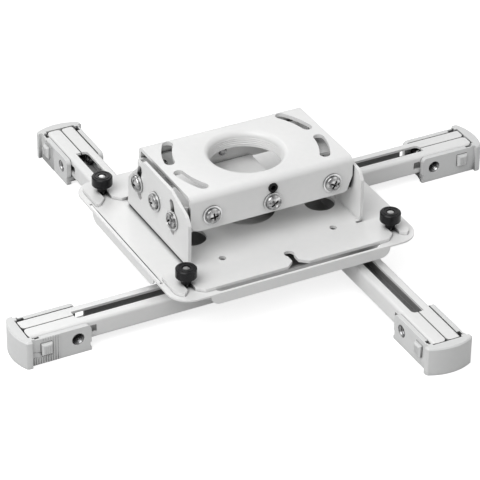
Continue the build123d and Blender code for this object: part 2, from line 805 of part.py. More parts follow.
bush_shape = cross_bushes()
with BuildPart(fl_end) as cap_inserts_fl:
    add(bush_shape)
with BuildPart(fr_end) as cap_inserts_fr:
    add(bush_shape)
with BuildPart(bl_end) as cap_inserts_bl:
    add(bush_shape)
with BuildPart(br_end) as cap_inserts_br:
    add(bush_shape)


def latch_button():
    """Push button on the +Y cheek of a cap, with the tooth that reaches into the leg's wall."""
    pad_low = cheek_in + button_seat + button_travel + slide_gap / 3
    with BuildPart() as button:
        with BuildSketch(Plane.XZ.offset(-pad_low)):
            with Locations((-button_u, button_z)):
                Rectangle(button_l, button_h)
        extrude(amount=-(cheek_out + button_out - pad_low))
        chamfer(button.faces().sort_by(Axis.Y)[-1].edges(), button_round)
        with BuildSketch(Plane.XZ.offset(-pad_low)):
            with Locations((-button_u, button_z)):
                Rectangle(tooth_l, tooth_l)
        extrude(amount=pad_low - tooth_end)
    return button.part


button_a = latch_button()
button_b = button_a.mirror(Plane.XZ)
with BuildPart(fl_end) as latch_button_fl_a:
    add(button_a)
with BuildPart(fl_end) as latch_button_fl_b:
    add(button_b)
with BuildPart(fr_end) as latch_button_fr_a:
    add(button_a)
with BuildPart(fr_end) as latch_button_fr_b:
    add(button_b)
with BuildPart(bl_end) as latch_button_bl_a:
    add(button_a)
with BuildPart(bl_end) as latch_button_bl_b:
    add(button_b)
with BuildPart(br_end) as latch_button_br_a:
    add(button_a)
with BuildPart(br_end) as latch_button_br_b:
    add(button_b)


def thumb_knob():
    """Knob on a stud at the origin."""
    grip_low = knob_top - knob_grip_h
    hub_low = tray_top + slide_gap
    with BuildPart() as knob:
        with BuildSketch(Plane.XY.offset(grip_low)):
            Circle(knob_r)
        extrude(amount=knob_grip_h)
        chamfer(knob.edges(), knob_chamfer)
        with BuildSketch(Plane.XY.offset(hub_low)):
            Circle(knob_hub_r)
        extrude(amount=grip_low - hub_low)
        with BuildSketch(Plane.XY.offset(hub_low)):
            Circle(stud_r + slide_gap)
        extrude(amount=knob_top - hub_low, mode=Mode.SUBTRACT)
        with BuildSketch(Plane.XY.offset(grip_low + bush_up - slide_gap)):
            Circle(bush_r + run_gap)
        extrude(amount=bush_h + 2 * slide_gap, mode=Mode.SUBTRACT)
    return knob.part


def knob_bush():
    """Threaded bush inside a knob."""
    with BuildPart() as bush:
        with BuildSketch(Plane.XY.offset(knob_top - knob_grip_h + bush_up)):
            Circle(bush_r)
            Circle(stud_r + run_gap, mode=Mode.SUBTRACT)
        extrude(amount=bush_h)
    return bush.part


knob_shape = thumb_knob()
knob_bush_shape = knob_bush()
with BuildPart(Plane(origin=(-knob_x, -knob_y, 0))) as knob_fl:
    add(knob_shape)
with BuildPart(Plane(origin=(knob_x, -knob_y, 0))) as knob_fr:
    add(knob_shape)
with BuildPart(Plane(origin=(-knob_x, knob_y, 0))) as knob_bl:
    add(knob_shape)
with BuildPart(Plane(origin=(knob_x, knob_y, 0))) as knob_br:
    add(knob_shape)
with BuildPart(Plane(origin=(-knob_x, -knob_y, 0))) as knob_insert_fl:
    add(knob_bush_shape)
with BuildPart(Plane(origin=(knob_x, -knob_y, 0))) as knob_insert_fr:
    add(knob_bush_shape)
with BuildPart(Plane(origin=(-knob_x, knob_y, 0))) as knob_insert_bl:
    add(knob_bush_shape)
with BuildPart(Plane(origin=(knob_x, knob_y, 0))) as knob_insert_br:
    add(knob_bush_shape)

pieces = {
    "ceiling_bracket": ceiling_bracket,
    "pipe_set_screw": pipe_set_screw,
    "roll_bracket": roll_bracket,
    "roll_pivot_screws": roll_pivot_screws,
    "roll_lock_screws": roll_lock_screws,
    "roll_washers": roll_washers,
    "tilt_pivot_screws": tilt_pivot_screws,
    "tilt_lock_screws": tilt_lock_screws,
    "tilt_washers": tilt_washers,
    "tilt_tray": tilt_tray,
    "interface_plate": interface_plate,
    "lock_studs": lock_studs,
    "hub_pan": hub_pan,
    "leg_fl": leg_fl,
    "leg_fr": leg_fr,
    "leg_bl": leg_bl,
    "leg_br": leg_br,
    "clamp_bolt_fl": clamp_bolt_fl,
    "clamp_bolt_fr": clamp_bolt_fr,
    "clamp_bolt_bl": clamp_bolt_bl,
    "clamp_bolt_br": clamp_bolt_br,
    "clamp_nut_fl": clamp_nut_fl,
    "clamp_nut_fr": clamp_nut_fr,
    "clamp_nut_bl": clamp_nut_bl,
    "clamp_nut_br": clamp_nut_br,
    "end_cap_fl": end_cap_fl,
    "end_cap_fr": end_cap_fr,
    "end_cap_bl": end_cap_bl,
    "end_cap_br": end_cap_br,
    "cap_inserts_fl": cap_inserts_fl,
    "cap_inserts_fr": cap_inserts_fr,
    "cap_inserts_bl": cap_inserts_bl,
    "cap_inserts_br": cap_inserts_br,
    "latch_button_fl_a": latch_button_fl_a,
    "latch_button_fl_b": latch_button_fl_b,
    "latch_button_fr_a": latch_button_fr_a,
    "latch_button_fr_b": latch_button_fr_b,
    "latch_button_bl_a": latch_button_bl_a,
    "latch_button_bl_b": latch_button_bl_b,
    "latch_button_br_a": latch_button_br_a,
    "latch_button_br_b": latch_button_br_b,
    "knob_fl": knob_fl,
    "knob_fr": knob_fr,
    "knob_bl": knob_bl,
    "knob_br": knob_br,
    "knob_insert_fl": knob_insert_fl,
    "knob_insert_fr": knob_insert_fr,
    "knob_insert_bl": knob_insert_bl,
    "knob_insert_br": knob_insert_br,
}
for label, piece in pieces.items():
    piece.part.label = label
    export_step(piece.part, f"parts/{label}.step")
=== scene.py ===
"""Projector ceiling mount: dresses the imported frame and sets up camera, floor and light.

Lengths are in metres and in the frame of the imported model: the origin is on the pipe collar's axis
at the ceiling face, X runs to the right along the front edge, Y to the back and Z up.
"""
import json
import logging
import math
from contextlib import contextmanager
from dataclasses import dataclass, field, replace
from enum import Enum
from typing import Dict, Iterator, List, Sequence, Tuple

import bmesh
import bpy
from mathutils import Matrix, Vector

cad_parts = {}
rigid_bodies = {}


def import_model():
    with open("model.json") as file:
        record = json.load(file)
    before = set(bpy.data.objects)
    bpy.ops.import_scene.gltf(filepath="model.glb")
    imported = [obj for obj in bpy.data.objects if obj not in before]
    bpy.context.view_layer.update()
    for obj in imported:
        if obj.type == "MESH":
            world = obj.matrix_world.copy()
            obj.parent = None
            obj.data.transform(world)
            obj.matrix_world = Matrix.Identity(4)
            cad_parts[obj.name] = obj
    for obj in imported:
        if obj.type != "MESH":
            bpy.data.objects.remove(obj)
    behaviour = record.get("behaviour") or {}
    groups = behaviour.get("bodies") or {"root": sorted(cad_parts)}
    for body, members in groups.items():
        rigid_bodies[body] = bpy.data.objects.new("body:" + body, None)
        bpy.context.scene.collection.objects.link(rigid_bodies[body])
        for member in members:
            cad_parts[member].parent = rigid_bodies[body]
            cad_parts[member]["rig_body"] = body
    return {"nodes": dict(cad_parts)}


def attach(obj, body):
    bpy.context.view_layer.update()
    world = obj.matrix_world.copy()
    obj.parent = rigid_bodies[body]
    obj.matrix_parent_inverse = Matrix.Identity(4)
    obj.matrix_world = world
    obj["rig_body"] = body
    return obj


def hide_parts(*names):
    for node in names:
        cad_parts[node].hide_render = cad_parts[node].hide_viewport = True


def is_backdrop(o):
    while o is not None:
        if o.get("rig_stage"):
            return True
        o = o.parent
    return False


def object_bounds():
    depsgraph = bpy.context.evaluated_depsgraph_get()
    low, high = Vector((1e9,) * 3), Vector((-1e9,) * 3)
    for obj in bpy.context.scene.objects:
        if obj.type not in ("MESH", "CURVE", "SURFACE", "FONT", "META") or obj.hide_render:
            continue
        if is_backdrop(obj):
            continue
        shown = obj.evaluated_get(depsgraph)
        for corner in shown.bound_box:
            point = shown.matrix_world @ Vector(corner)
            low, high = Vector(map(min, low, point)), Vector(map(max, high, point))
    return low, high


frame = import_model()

LOG = logging.getLogger("ceiling_mount")
MM = 0.001
# Points nearer than these count as one, in metres; faces within the angle count as one, in degrees.
SAME_POINT = 1e-7
CAD_MERGE = 1e-6
CUT_MERGE = 4e-6
FLAT_ANGLE = 0.6
Pair = Tuple[float, float]
Triple = Tuple[float, float, float]
Sockets = Sequence[Tuple[str, str]]
CORNERS = ("fl", "fr", "bl", "br")


class Coat(Enum):
    """The finishes that a piece of the mount can have."""

    WHITE_POWDER = "white_powder_coat"
    CAP_PLASTIC = "cap_plastic"
    KNOB_PLASTIC = "knob_plastic"
    ZINC = "bright_zinc"
    BLACK_OXIDE = "black_oxide"
    BRASS = "turned_brass"
    SCREW = "bright_screw"
    BARE_INSIDE = "bare_inside_of_leg"
    BUSH = "dull_bush"
    WHITE_PLATE = "white_powder_coat_plate"
    WHITE_PAN = "white_powder_coat_pan"


def add_sockets(tree: bpy.types.NodeTree, way: str, sockets: Sockets) -> None:
    """Adds sockets to a tree's own inputs or outputs.

    Args:
        tree: the tree.
        way: INPUT or OUTPUT.
        sockets: name and kind of each, such as Float or Vector.
    """
    for label, kind in sockets:
        tree.interface.new_socket(name=label, in_out=way, socket_type=f"NodeSocket{kind}")


def new_group(name: str, inputs: Dict[str, float], outputs: Sockets) -> bpy.types.NodeTree:
    """Makes an empty shader node group with number inputs.

    Args:
        name: name of the group.
        inputs: input names with their default values.
        outputs: output names with their kinds.

    Returns:
        The group, with its input and output nodes in place.
    """
    group = bpy.data.node_groups.new(name, "ShaderNodeTree")
    add_sockets(group, "INPUT", [(label, "Float") for label in inputs])
    for item in group.interface.items_tree:
        item.default_value = inputs[item.name]
    add_sockets(group, "OUTPUT", outputs)
    group.nodes.new("NodeGroupInput").name = "in"
    group.nodes.new("NodeGroupOutput").name = "out"
    return group


def new_tree(name: str, inputs: Sockets) -> bpy.types.NodeTree:
    """Makes an empty geometry node tree with named inputs.

    Args:
        name: name of the tree.
        inputs: input names with their kinds, after the geometry itself.

    Returns:
        The tree, with its input and output nodes in place.
    """
    tree = bpy.data.node_groups.new(name, "GeometryNodeTree")
    add_sockets(tree, "INPUT", [("Geometry", "Geometry"), *inputs])
    add_sockets(tree, "OUTPUT", [("Geometry", "Geometry")])
    tree.nodes.new("NodeGroupInput").name = "in"
    tree.nodes.new("NodeGroupOutput").name = "out"
    return tree


def feed(tree: bpy.types.NodeTree, *wires: Tuple[str, bpy.types.NodeSocket]) -> None:
    """Links a tree's own inputs to sockets inside it.

    Args:
        tree: the tree.
        wires: the name of an input and the socket that it goes to, for each link.
    """
    for label, socket in wires:
        tree.links.new(tree.nodes["in"].outputs[label], socket)


def tune(node: bpy.types.Node, values: Dict[object, object]) -> None:
    """Sets inputs of a node.

    Args:
        node: the node.
        values: its inputs, by name or place, with their values.
    """
    for socket, value in values.items():
        node.inputs[socket].default_value = value


def finish_tree(tree: bpy.types.NodeTree, geometry: bpy.types.NodeSocket) -> None:
    """Ends a tree in Realize Instances and Set Material.

    Args:
        tree: the tree, which has an input named Finish.
        geometry: the output that carries the shape.
    """
    real = tree.nodes.new("GeometryNodeRealizeInstances")
    dress = tree.nodes.new("GeometryNodeSetMaterial")
    tree.links.new(geometry, real.inputs[0])
    tree.links.new(real.outputs[0], dress.inputs["Geometry"])
    feed(tree, ("Finish", dress.inputs["Material"]))
    tree.links.new(dress.outputs[0], tree.nodes["out"].inputs[0])


def stand(name: str, data: bpy.types.ID) -> bpy.types.Object:
    """Stands a mesh, camera or lamp in the scene.

    Args:
        name: name of the new object.
        data: what it holds.

    Returns:
        The object, at the origin and unturned.
    """
    piece = bpy.data.objects.new(name, data)
    bpy.context.scene.collection.objects.link(piece)
    return piece


def settle(piece: bpy.types.Object) -> None:
    """Turns a piece with live modifiers into a plain mesh.

    Args:
        piece: the piece; its mesh is changed and its modifiers are removed.
    """
    bpy.context.view_layer.update()
    solid = piece.evaluated_get(bpy.context.evaluated_depsgraph_get())
    mesh = bpy.data.meshes.new_from_object(solid)
    mesh.name = piece.data.name
    piece.modifiers.clear()
    piece.data = mesh


def grow(name: str, seed: bpy.types.Mesh, tree: bpy.types.NodeTree,
         values: Dict[str, object]) -> bpy.types.Object:
    """Runs a tree on a mesh and keeps the result as a plain mesh.

    Args:
        name: name of the new piece.
        seed: mesh that the tree starts from.
        tree: the geometry node tree.
        values: its inputs by name.

    Returns:
        The piece, with no modifier left on it.
    """
    piece = stand(name, seed)
    modifier = piece.modifiers.new("grow", "NODES")
    modifier.node_group = tree
    sockets = {item.name: item.identifier for item in tree.interface.items_tree
               if item.item_type == "SOCKET" and item.in_out == "INPUT"}
    for label, value in values.items():
        modifier[sockets[label]] = value
    settle(piece)
    piece.data.name = name
    return piece


def marks(places: Sequence[Matrix]) -> bpy.types.Mesh:
    """Makes a mesh of loose points that carry a turn.

    Args:
        places: where each copy goes and how it is turned.

    Returns:
        The mesh, with the attribute named turn.
    """
    mesh = bpy.data.meshes.new("marks")
    mesh.from_pydata([place.translation for place in places], [], [])
    turns = mesh.attributes.new("turn", "FLOAT_VECTOR", "POINT")
    for index, place in enumerate(places):
        turns.data[index].vector = place.to_euler()
    return mesh


def facing(point: Vector, outward: Vector, spin: float) -> Matrix:
    """Frame with its z along a direction.

    Args:
        point: its origin.
        outward: its z.
        spin: turn about its z, in degrees.

    Returns:
        The frame.
    """
    turn = outward.to_track_quat("Z", "Y").to_matrix().to_4x4()
    return Matrix.Translation(point) @ turn @ Matrix.Rotation(math.radians(spin), 4, "Z")


@contextmanager
def reworked(mesh: bpy.types.Mesh) -> Iterator[bmesh.types.BMesh]:
    """Opens a mesh for changes and writes them back at the end.

    Args:
        mesh: the mesh, which may be empty.

    Yields:
        Its editable form.
    """
    work = bmesh.new()
    work.from_mesh(mesh)
    yield work
    work.to_mesh(mesh)
    work.free()


def circle(radius: float, steps: int) -> List[Pair]:
    """Returns points at equal steps round a circle."""
    turns = [2 * math.pi * step / steps for step in range(steps)]
    return [(radius * math.cos(turn), radius * math.sin(turn)) for turn in turns]


def quarter(radius: float, steps: int) -> List[Pair]:
    """Returns points at equal steps along a quarter of a circle, with both its ends."""
    turns = [math.radians(90.0 * step / steps) for step in range(steps + 1)]
    return [(radius * math.cos(turn), radius * math.sin(turn)) for turn in turns]


def loft(name: str, rings: Sequence[Sequence[Sequence[float]]],
         capped: bool = True) -> bpy.types.Mesh:
    """Joins rings of points into a skin.

    Args:
        name: name of the mesh.
        rings: the points of each ring, as many in each; a ring of one point makes a pole.
        capped: whether a face closes the first and the last ring.

    Returns:
        The mesh, with its faces pointing out.
    """
    mesh = bpy.data.meshes.new(name)
    with reworked(mesh) as work:
        loops = [[work.verts.new(point) for point in ring] for ring in rings]
        if capped:
            work.faces.new(loops[0])
            work.faces.new(loops[-1])
        count = max(len(loop) for loop in loops)
        for low, high in zip(loops, loops[1:]):
            for here in range(count):
                after = (here + 1) % count
                corners = (low[here % len(low)], low[after % len(low)],
                           high[after % len(high)], high[here % len(high)])
                work.faces.new(list(dict.fromkeys(corners)))
        bmesh.ops.recalc_face_normals(work, faces=work.faces)
    return mesh


def lathe(name: str, profile: Sequence[Pair], steps: int) -> bpy.types.Mesh:
    """Turns a profile about z into a skin.

    Args:
        name: name of the mesh.
        profile: radius and height of each ring, from one end to the other; radius 0 makes a pole.
        steps: facets round.

    Returns:
        The mesh, with its faces pointing out.
    """
    return loft(name, [[(x, y, height) for x, y in circle(radius, steps if radius else 1)]
                       for radius, height in profile], capped=False)


def shade(mesh: bpy.types.Mesh, angle: float) -> None:
    """Smooths a mesh except at its sharp edges.

    Args:
        mesh: the mesh.
        angle: edges sharper than this many degrees stay edges.
    """
    with reworked(mesh) as work:
        bmesh.ops.remove_doubles(work, verts=work.verts, dist=SAME_POINT)
        for face in work.faces:
            face.smooth = True
        limit = math.radians(angle)
        for seam in work.edges:
            seam.smooth = len(seam.link_faces) == 2 and seam.calc_face_angle(0.0) < limit


def cut_away(piece: bpy.types.Object, cutter: bpy.types.Object) -> None:
    """Cuts one closed shape out of another and removes the cutter.

    Args:
        piece: the piece that is cut; its mesh is changed.
        cutter: the shape to cut out.
    """
    cut = piece.modifiers.new("cut", "BOOLEAN")
    cut.operation = "DIFFERENCE"
    cut.solver = "EXACT"
    cut.object = cutter
    settle(piece)
    with reworked(piece.data) as work:
        bmesh.ops.remove_doubles(work, verts=work.verts, dist=CUT_MERGE)
        bmesh.ops.dissolve_degenerate(work, edges=work.edges, dist=CUT_MERGE)
    bpy.data.objects.remove(cutter)


def block(name: str, place: Matrix, middle: Vector, size: Vector) -> bpy.types.Object:
    """Makes a closed box.

    Args:
        name: its name.
        place: frame that it lies in.
        middle: its centre in that frame.
        size: its three sides.

    Returns:
        A loose object with the finished mesh.
    """
    mesh = bpy.data.meshes.new(name)
    with reworked(mesh) as work:
        bmesh.ops.create_cube(work, size=1.0)
        shape = place @ Matrix.Translation(middle) @ Matrix.Diagonal((*size, 1.0))
        bmesh.ops.transform(work, matrix=shape, verts=work.verts)
        bmesh.ops.recalc_face_normals(work, faces=work.faces)
    return stand(name, mesh)


def prism(name: str, place: Matrix, outline: Sequence[Pair], low: float,
          high: float) -> bpy.types.Object:
    """Makes a closed upright prism.

    Args:
        name: its name.
        place: frame that it stands in.
        outline: its corners in that frame, in order.
        low: its lower face.
        high: its upper face.

    Returns:
        A loose object with the finished mesh.
    """
    rings = [[place @ Vector((x, y, z)) for x, y in outline] for z in (low, high)]
    return stand(name, loft(name, rings))


def rod(name: str, path: Sequence[Vector], radius: float, steps: int) -> bpy.types.Object:
    """Makes a closed round rod along a path.

    Args:
        name: its name.
        path: points that it passes through.
        radius: its radius.
        steps: facets round.

    Returns:
        A loose object with the finished mesh.
    """
    rings = []
    for index, point in enumerate(path):
        ahead = path[min(index + 1, len(path) - 1)] - path[max(index - 1, 0)]
        turn = ahead.to_track_quat("Z", "Y").to_matrix()
        rings.append([point + turn @ Vector((x, y, 0.0)) for x, y in circle(radius, steps)])
    return stand(name, loft(name, rings))


@dataclass
class SurfaceEffects:
    """Node groups that several finishes share."""

    grain: bpy.types.NodeTree = field(init=False)
    tone: bpy.types.NodeTree = field(init=False)
    brush: bpy.types.NodeTree = field(init=False)
    gap: bpy.types.NodeTree = field(init=False)

    def __post_init__(self) -> None:
        """Builds the groups once."""
        self.grain = self._grain()
        self.tone = self._tone()
        self.brush = self._brush()
        self.gap = self._gap()

    def _noise(self, group: bpy.types.NodeTree, place: bpy.types.NodeSocket, cells: str,
               octaves: float) -> bpy.types.NodeSocket:
        """Adds a noise texture.

        Args:
            group: tree to add to.
            place: socket that gives the place in the object.
            cells: the group's input that gives the cells per metre.
            octaves: layers of detail.

        Returns:
            The socket of its value.
        """
        noise = group.nodes.new("ShaderNodeTexNoise")
        noise.inputs["Detail"].default_value = octaves
        group.links.new(place, noise.inputs["Vector"])
        feed(group, (cells, noise.inputs["Scale"]))
        return noise.outputs["Fac"]

    def _two_noises(self, group: bpy.types.NodeTree, coarse: Tuple[str, float],
                    fine: Tuple[str, float], share: str) -> bpy.types.NodeSocket:
        """Blends a coarse and a fine noise on object coordinates.

        Args:
            group: tree to add to.
            coarse: the input that gives the coarse noise's cells, and its octaves.
            fine: the same for the fine noise.
            share: the input that gives the fine noise's share.

        Returns:
            The socket of the blend.
        """
        place = group.nodes.new("ShaderNodeTexCoord").outputs["Object"]
        blend = group.nodes.new("ShaderNodeMix")
        feed(group, (share, blend.inputs["Factor"]))
        for socket, (cells, octaves) in ((2, coarse), (3, fine)):
            group.links.new(self._noise(group, place, cells, octaves), blend.inputs[socket])
        return blend.outputs[0]

    def _grain(self) -> bpy.types.NodeTree:
        """Orange-peel height from two noises.

        Returns:
            A group that puts out a height.
        """
        group = new_group("coat_grain", {"Cells": 900.0, "Fine cells": 3200.0, "Fine share": 0.35},
                          [("Height", "Float")])
        height = self._two_noises(group, ("Cells", 2.0), ("Fine cells", 1.0), "Fine share")
        group.links.new(height, group.nodes["out"].inputs["Height"])
        return group

    def _tone(self) -> bpy.types.NodeTree:
        """Slow change of tone over a surface, with faint small specks.

        Returns:
            A group that puts out a mask from 0 to 1.
        """
        group = new_group("tone_drift", {"Patches": 18.0, "Specks": 260.0, "Speck share": 0.3},
                          [("Mask", "Float")])
        drift = self._two_noises(group, ("Patches", 3.0), ("Specks", 2.0), "Speck share")
        spread = group.nodes.new("ShaderNodeMapRange")
        tune(spread, {"From Min": 0.32, "From Max": 0.68})
        group.links.new(drift, spread.inputs["Value"])
        group.links.new(spread.outputs["Result"], group.nodes["out"].inputs["Mask"])
        return group

    def _gap(self) -> bpy.types.NodeTree:
        """Painted shade in narrow gaps and deep slots, none on open faces, from ambient occlusion.

        Returns:
            A group that puts out a mask, 0 on open faces and 1 deep in a gap.
        """
        group = new_group("gap_dust", {"Reach": 0.009, "Open": 0.5, "Closed": 0.2},
                          [("Mask", "Float")])
        # Painted shade: ambient occlusion finds gaps, recesses and slots, and the colour there is
        # darkened as if shade fell on it.
        closed_in = group.nodes.new("ShaderNodeAmbientOcclusion")
        closed_in.samples = 12
        spread = group.nodes.new("ShaderNodeMapRange")
        feed(group, ("Reach", closed_in.inputs["Distance"]), ("Open", spread.inputs["From Min"]),
             ("Closed", spread.inputs["From Max"]))
        group.links.new(closed_in.outputs["AO"], spread.inputs["Value"])
        group.links.new(spread.outputs["Result"], group.nodes["out"].inputs["Mask"])
        return group

    def _brush(self) -> bpy.types.NodeTree:
        """Fine drawn lines on metal.

        Returns:
            A group that puts out a mask and a height.
        """
        group = new_group("drawn_lines", {"Lines": 2600.0, "Stretch": 0.06},
                          [("Mask", "Float"), ("Height", "Float")])
        nodes, links = group.nodes, group.links
        squeeze = nodes.new("ShaderNodeVectorMath")
        squeeze.operation = "MULTIPLY"
        scale = nodes.new("ShaderNodeCombineXYZ")
        scale.inputs["Z"].default_value = 1.0
        feed(group, ("Stretch", scale.inputs["X"]), ("Stretch", scale.inputs["Y"]))
        links.new(nodes.new("ShaderNodeTexCoord").outputs["Object"], squeeze.inputs[0])
        links.new(scale.outputs[0], squeeze.inputs[1])
        lines = self._noise(group, squeeze.outputs[0], "Lines", 2.0)
        for label in ("Mask", "Height"):
            links.new(lines, nodes["out"].inputs[label])
        return group


@dataclass(frozen=True)
class Finish:
    """One finish: a Principled shader with drifting tone, drifting gloss, a fine surface and painted
    shade in its gaps.
    """

    coat: Coat
    light: Triple
    dark: Triple
    rough_low: float
    rough_high: float
    metallic: float = 0.0
    coat_weight: float = 0.0
    coat_rough: float = 0.2
    bump: float = 0.1
    bump_depth: float = 0.00004
    cells: float = 900.0
    fine_cells: float = 3200.0
    patches: float = 18.0
    drawn: bool = False
    # Painted shade: the colour that gaps and recesses are darkened towards, and how far and how
    # strongly.
    gap_colour: Triple = (0.05, 0.05, 0.052)
    gap_reach: float = 0.012
    gap_open: float = 0.55
    gap_closed: float = 0.2
    specular: float = 0.5

    def build(self, effects: SurfaceEffects) -> bpy.types.Material:
        """Makes the material.

        Args:
            effects: the shared node groups.

        Returns:
            The new material.
        """
        material = bpy.data.materials.new(self.coat.value)
        material.use_nodes = True
        nodes, links = material.node_tree.nodes, material.node_tree.links
        shader = nodes["Principled BSDF"]
        tune(shader, {"Metallic": self.metallic, "Specular IOR Level": self.specular,
                      "Coat Weight": self.coat_weight, "Coat Roughness": self.coat_rough})
        tone, gap, surface = (nodes.new("ShaderNodeGroup") for _ in range(3))
        tone.node_tree = effects.tone
        tone.inputs["Patches"].default_value = self.patches
        gap.node_tree = effects.gap
        tune(gap, {"Reach": self.gap_reach, "Open": self.gap_open, "Closed": self.gap_closed})
        colour, gap_shaded = (nodes.new("ShaderNodeMix") for _ in range(2))
        for blend in (colour, gap_shaded):
            blend.data_type = "RGBA"
        tune(colour, {6: (*self.light, 1.0), 7: (*self.dark, 1.0)})
        # Painted shade: the gap mask darkens the colour in gaps, recesses and slots.
        gap_shaded.inputs[7].default_value = (*self.gap_colour, 1.0)
        links.new(tone.outputs["Mask"], colour.inputs["Factor"])
        links.new(gap.outputs["Mask"], gap_shaded.inputs["Factor"])
        links.new(colour.outputs[2], gap_shaded.inputs[6])
        links.new(gap_shaded.outputs[2], shader.inputs["Base Color"])
        gloss = nodes.new("ShaderNodeMapRange")
        tune(gloss, {"To Min": self.rough_low, "To Max": self.rough_high})
        if self.drawn:
            surface.node_tree = effects.brush
            links.new(surface.outputs["Mask"], gloss.inputs["Value"])
        else:
            surface.node_tree = effects.grain
            tune(surface, {"Cells": self.cells, "Fine cells": self.fine_cells})
            links.new(tone.outputs["Mask"], gloss.inputs["Value"])
        links.new(gloss.outputs["Result"], shader.inputs["Roughness"])
        bump = nodes.new("ShaderNodeBump")
        tune(bump, {"Strength": self.bump, "Distance": self.bump_depth})
        links.new(surface.outputs["Height"], bump.inputs["Height"])
        links.new(bump.outputs["Normal"], shader.inputs["Normal"])
        return material


POWDER = Finish(Coat.WHITE_POWDER, light=(0.80, 0.80, 0.795), dark=(0.755, 0.757, 0.755),
                rough_low=0.36, rough_high=0.46, coat_weight=0.12, bump=0.25, bump_depth=0.00005)
# Every finish paints shade into its gaps and recesses; the dark settings on screws, knobs and bushes
# deepen the painted shade in cross recesses and under heads.
FINISHES = (
    POWDER,
    Finish(Coat.CAP_PLASTIC, light=(0.70, 0.705, 0.70), dark=(0.66, 0.665, 0.665), rough_low=0.42,
           rough_high=0.55, bump=0.3, bump_depth=0.00003, cells=2200.0, fine_cells=5200.0),
    Finish(Coat.KNOB_PLASTIC, light=(0.010, 0.010, 0.011), dark=(0.004, 0.004, 0.005),
           rough_low=0.2, rough_high=0.32, bump=0.3, bump_depth=0.00003, cells=1800.0, patches=90.0,
           gap_colour=(0.002, 0.002, 0.002), specular=0.18),
    Finish(Coat.ZINC, light=(0.72, 0.72, 0.72), dark=(0.5, 0.505, 0.51), rough_low=0.12,
           rough_high=0.3, metallic=1.0, bump=0.12, bump_depth=0.00002, patches=220.0, drawn=True,
           gap_colour=(0.01, 0.01, 0.01), gap_reach=0.0025, gap_open=0.72),
    Finish(Coat.SCREW, light=(0.62, 0.62, 0.62), dark=(0.03, 0.03, 0.032), rough_low=0.08,
           rough_high=0.2, metallic=1.0, bump=0.1, bump_depth=0.00002, patches=420.0, drawn=True,
           gap_colour=(0.004, 0.004, 0.004), gap_reach=0.004, gap_open=0.9),
    # Copies of the white coat that differ only in painted shade: a short dark line in the plate's
    # gaps, and a long grey painted shade on the pan's walls under the plate.
    replace(POWDER, coat=Coat.WHITE_PLATE, gap_reach=0.006, gap_open=0.7, gap_closed=0.35),
    replace(POWDER, coat=Coat.WHITE_PAN, gap_colour=(0.3, 0.3, 0.3), gap_reach=0.03, gap_open=0.85,
            gap_closed=0.35),
    # Dark metal for the cap bushes; its dark tone partly stands in for the shade deep in their
    # bores.
    Finish(Coat.BUSH, light=(0.34, 0.34, 0.34), dark=(0.16, 0.16, 0.165), rough_low=0.2,
           rough_high=0.34, metallic=1.0, bump=0.1, bump_depth=0.00002, patches=300.0, drawn=True,
           gap_colour=(0.006, 0.006, 0.006), gap_reach=0.005, gap_open=0.85, gap_closed=0.3),
    # Darker grey for the inner faces of the legs' boxes: partly a guessed bare inside, partly
    # painted shade for the dim inside of the legs.
    Finish(Coat.BARE_INSIDE, light=(0.35, 0.35, 0.35), dark=(0.29, 0.29, 0.29), rough_low=0.5,
           rough_high=0.65, bump=0.2, bump_depth=0.00003),
    Finish(Coat.BLACK_OXIDE, light=(0.008, 0.008, 0.009), dark=(0.004, 0.004, 0.004),
           rough_low=0.35, rough_high=0.5, bump=0.2, bump_depth=0.00002, patches=200.0,
           gap_colour=(0.002, 0.002, 0.002), gap_reach=0.003, specular=0.16),
    Finish(Coat.BRASS, light=(0.71, 0.55, 0.27), dark=(0.6, 0.46, 0.22), rough_low=0.25,
           rough_high=0.4, metallic=1.0, bump=0.1, bump_depth=0.00002, patches=160.0, drawn=True),
)


@dataclass
class Workshop:
    """Holds the materials and the helpers that every sub-assembly uses."""

    effects: SurfaceEffects
    materials: Dict[Coat, bpy.types.Material] = field(default_factory=dict)
    sharp: float = 32.0
    edge_steps: int = 2

    def __post_init__(self) -> None:
        """Builds every finish."""
        for finish in FINISHES:
            self.materials[finish.coat] = finish.build(self.effects)

    def paint(self, piece: bpy.types.Object, coat: Coat) -> None:
        """Gives a piece one finish.

        Args:
            piece: the object.
            coat: which finish.
        """
        piece.data.materials.clear()
        piece.data.materials.append(self.materials[coat])

    def softened(self, node: str, coat: Coat, edge: float,
                 cutters: Sequence[bpy.types.Object] = ()) -> bpy.types.Object:
        """Stands a merged, smooth-shaded copy with rounded edges in for a CAD node.

        Args:
            node: name of the CAD node.
            coat: its finish.
            edge: width of the rounded edges, in metres.
            cutters: shapes to cut from the copy before its edges are rounded; they are used up.

        Returns:
            The new piece, riding on the node's body.
        """
        source = frame["nodes"][node]
        mesh = source.data.copy()
        mesh.name = node + "_skin"
        with reworked(mesh) as work:
            bmesh.ops.remove_doubles(work, verts=work.verts, dist=CAD_MERGE)
            bmesh.ops.dissolve_limit(work, angle_limit=math.radians(FLAT_ANGLE), verts=work.verts,
                                     edges=work.edges)
        piece = stand(node + "_skin", mesh)
        for cutter in cutters:
            cut_away(piece, cutter)
        shade(piece.data, self.sharp)
        rounding = piece.modifiers.new("rounded_edges", "BEVEL")
        rounding.width = edge
        rounding.segments = self.edge_steps
        rounding.limit_method = "ANGLE"
        rounding.angle_limit = math.radians(self.sharp)
        rounding.harden_normals = True
        self.paint(piece, coat)
        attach(piece, source["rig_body"])
        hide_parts(node)
        return piece


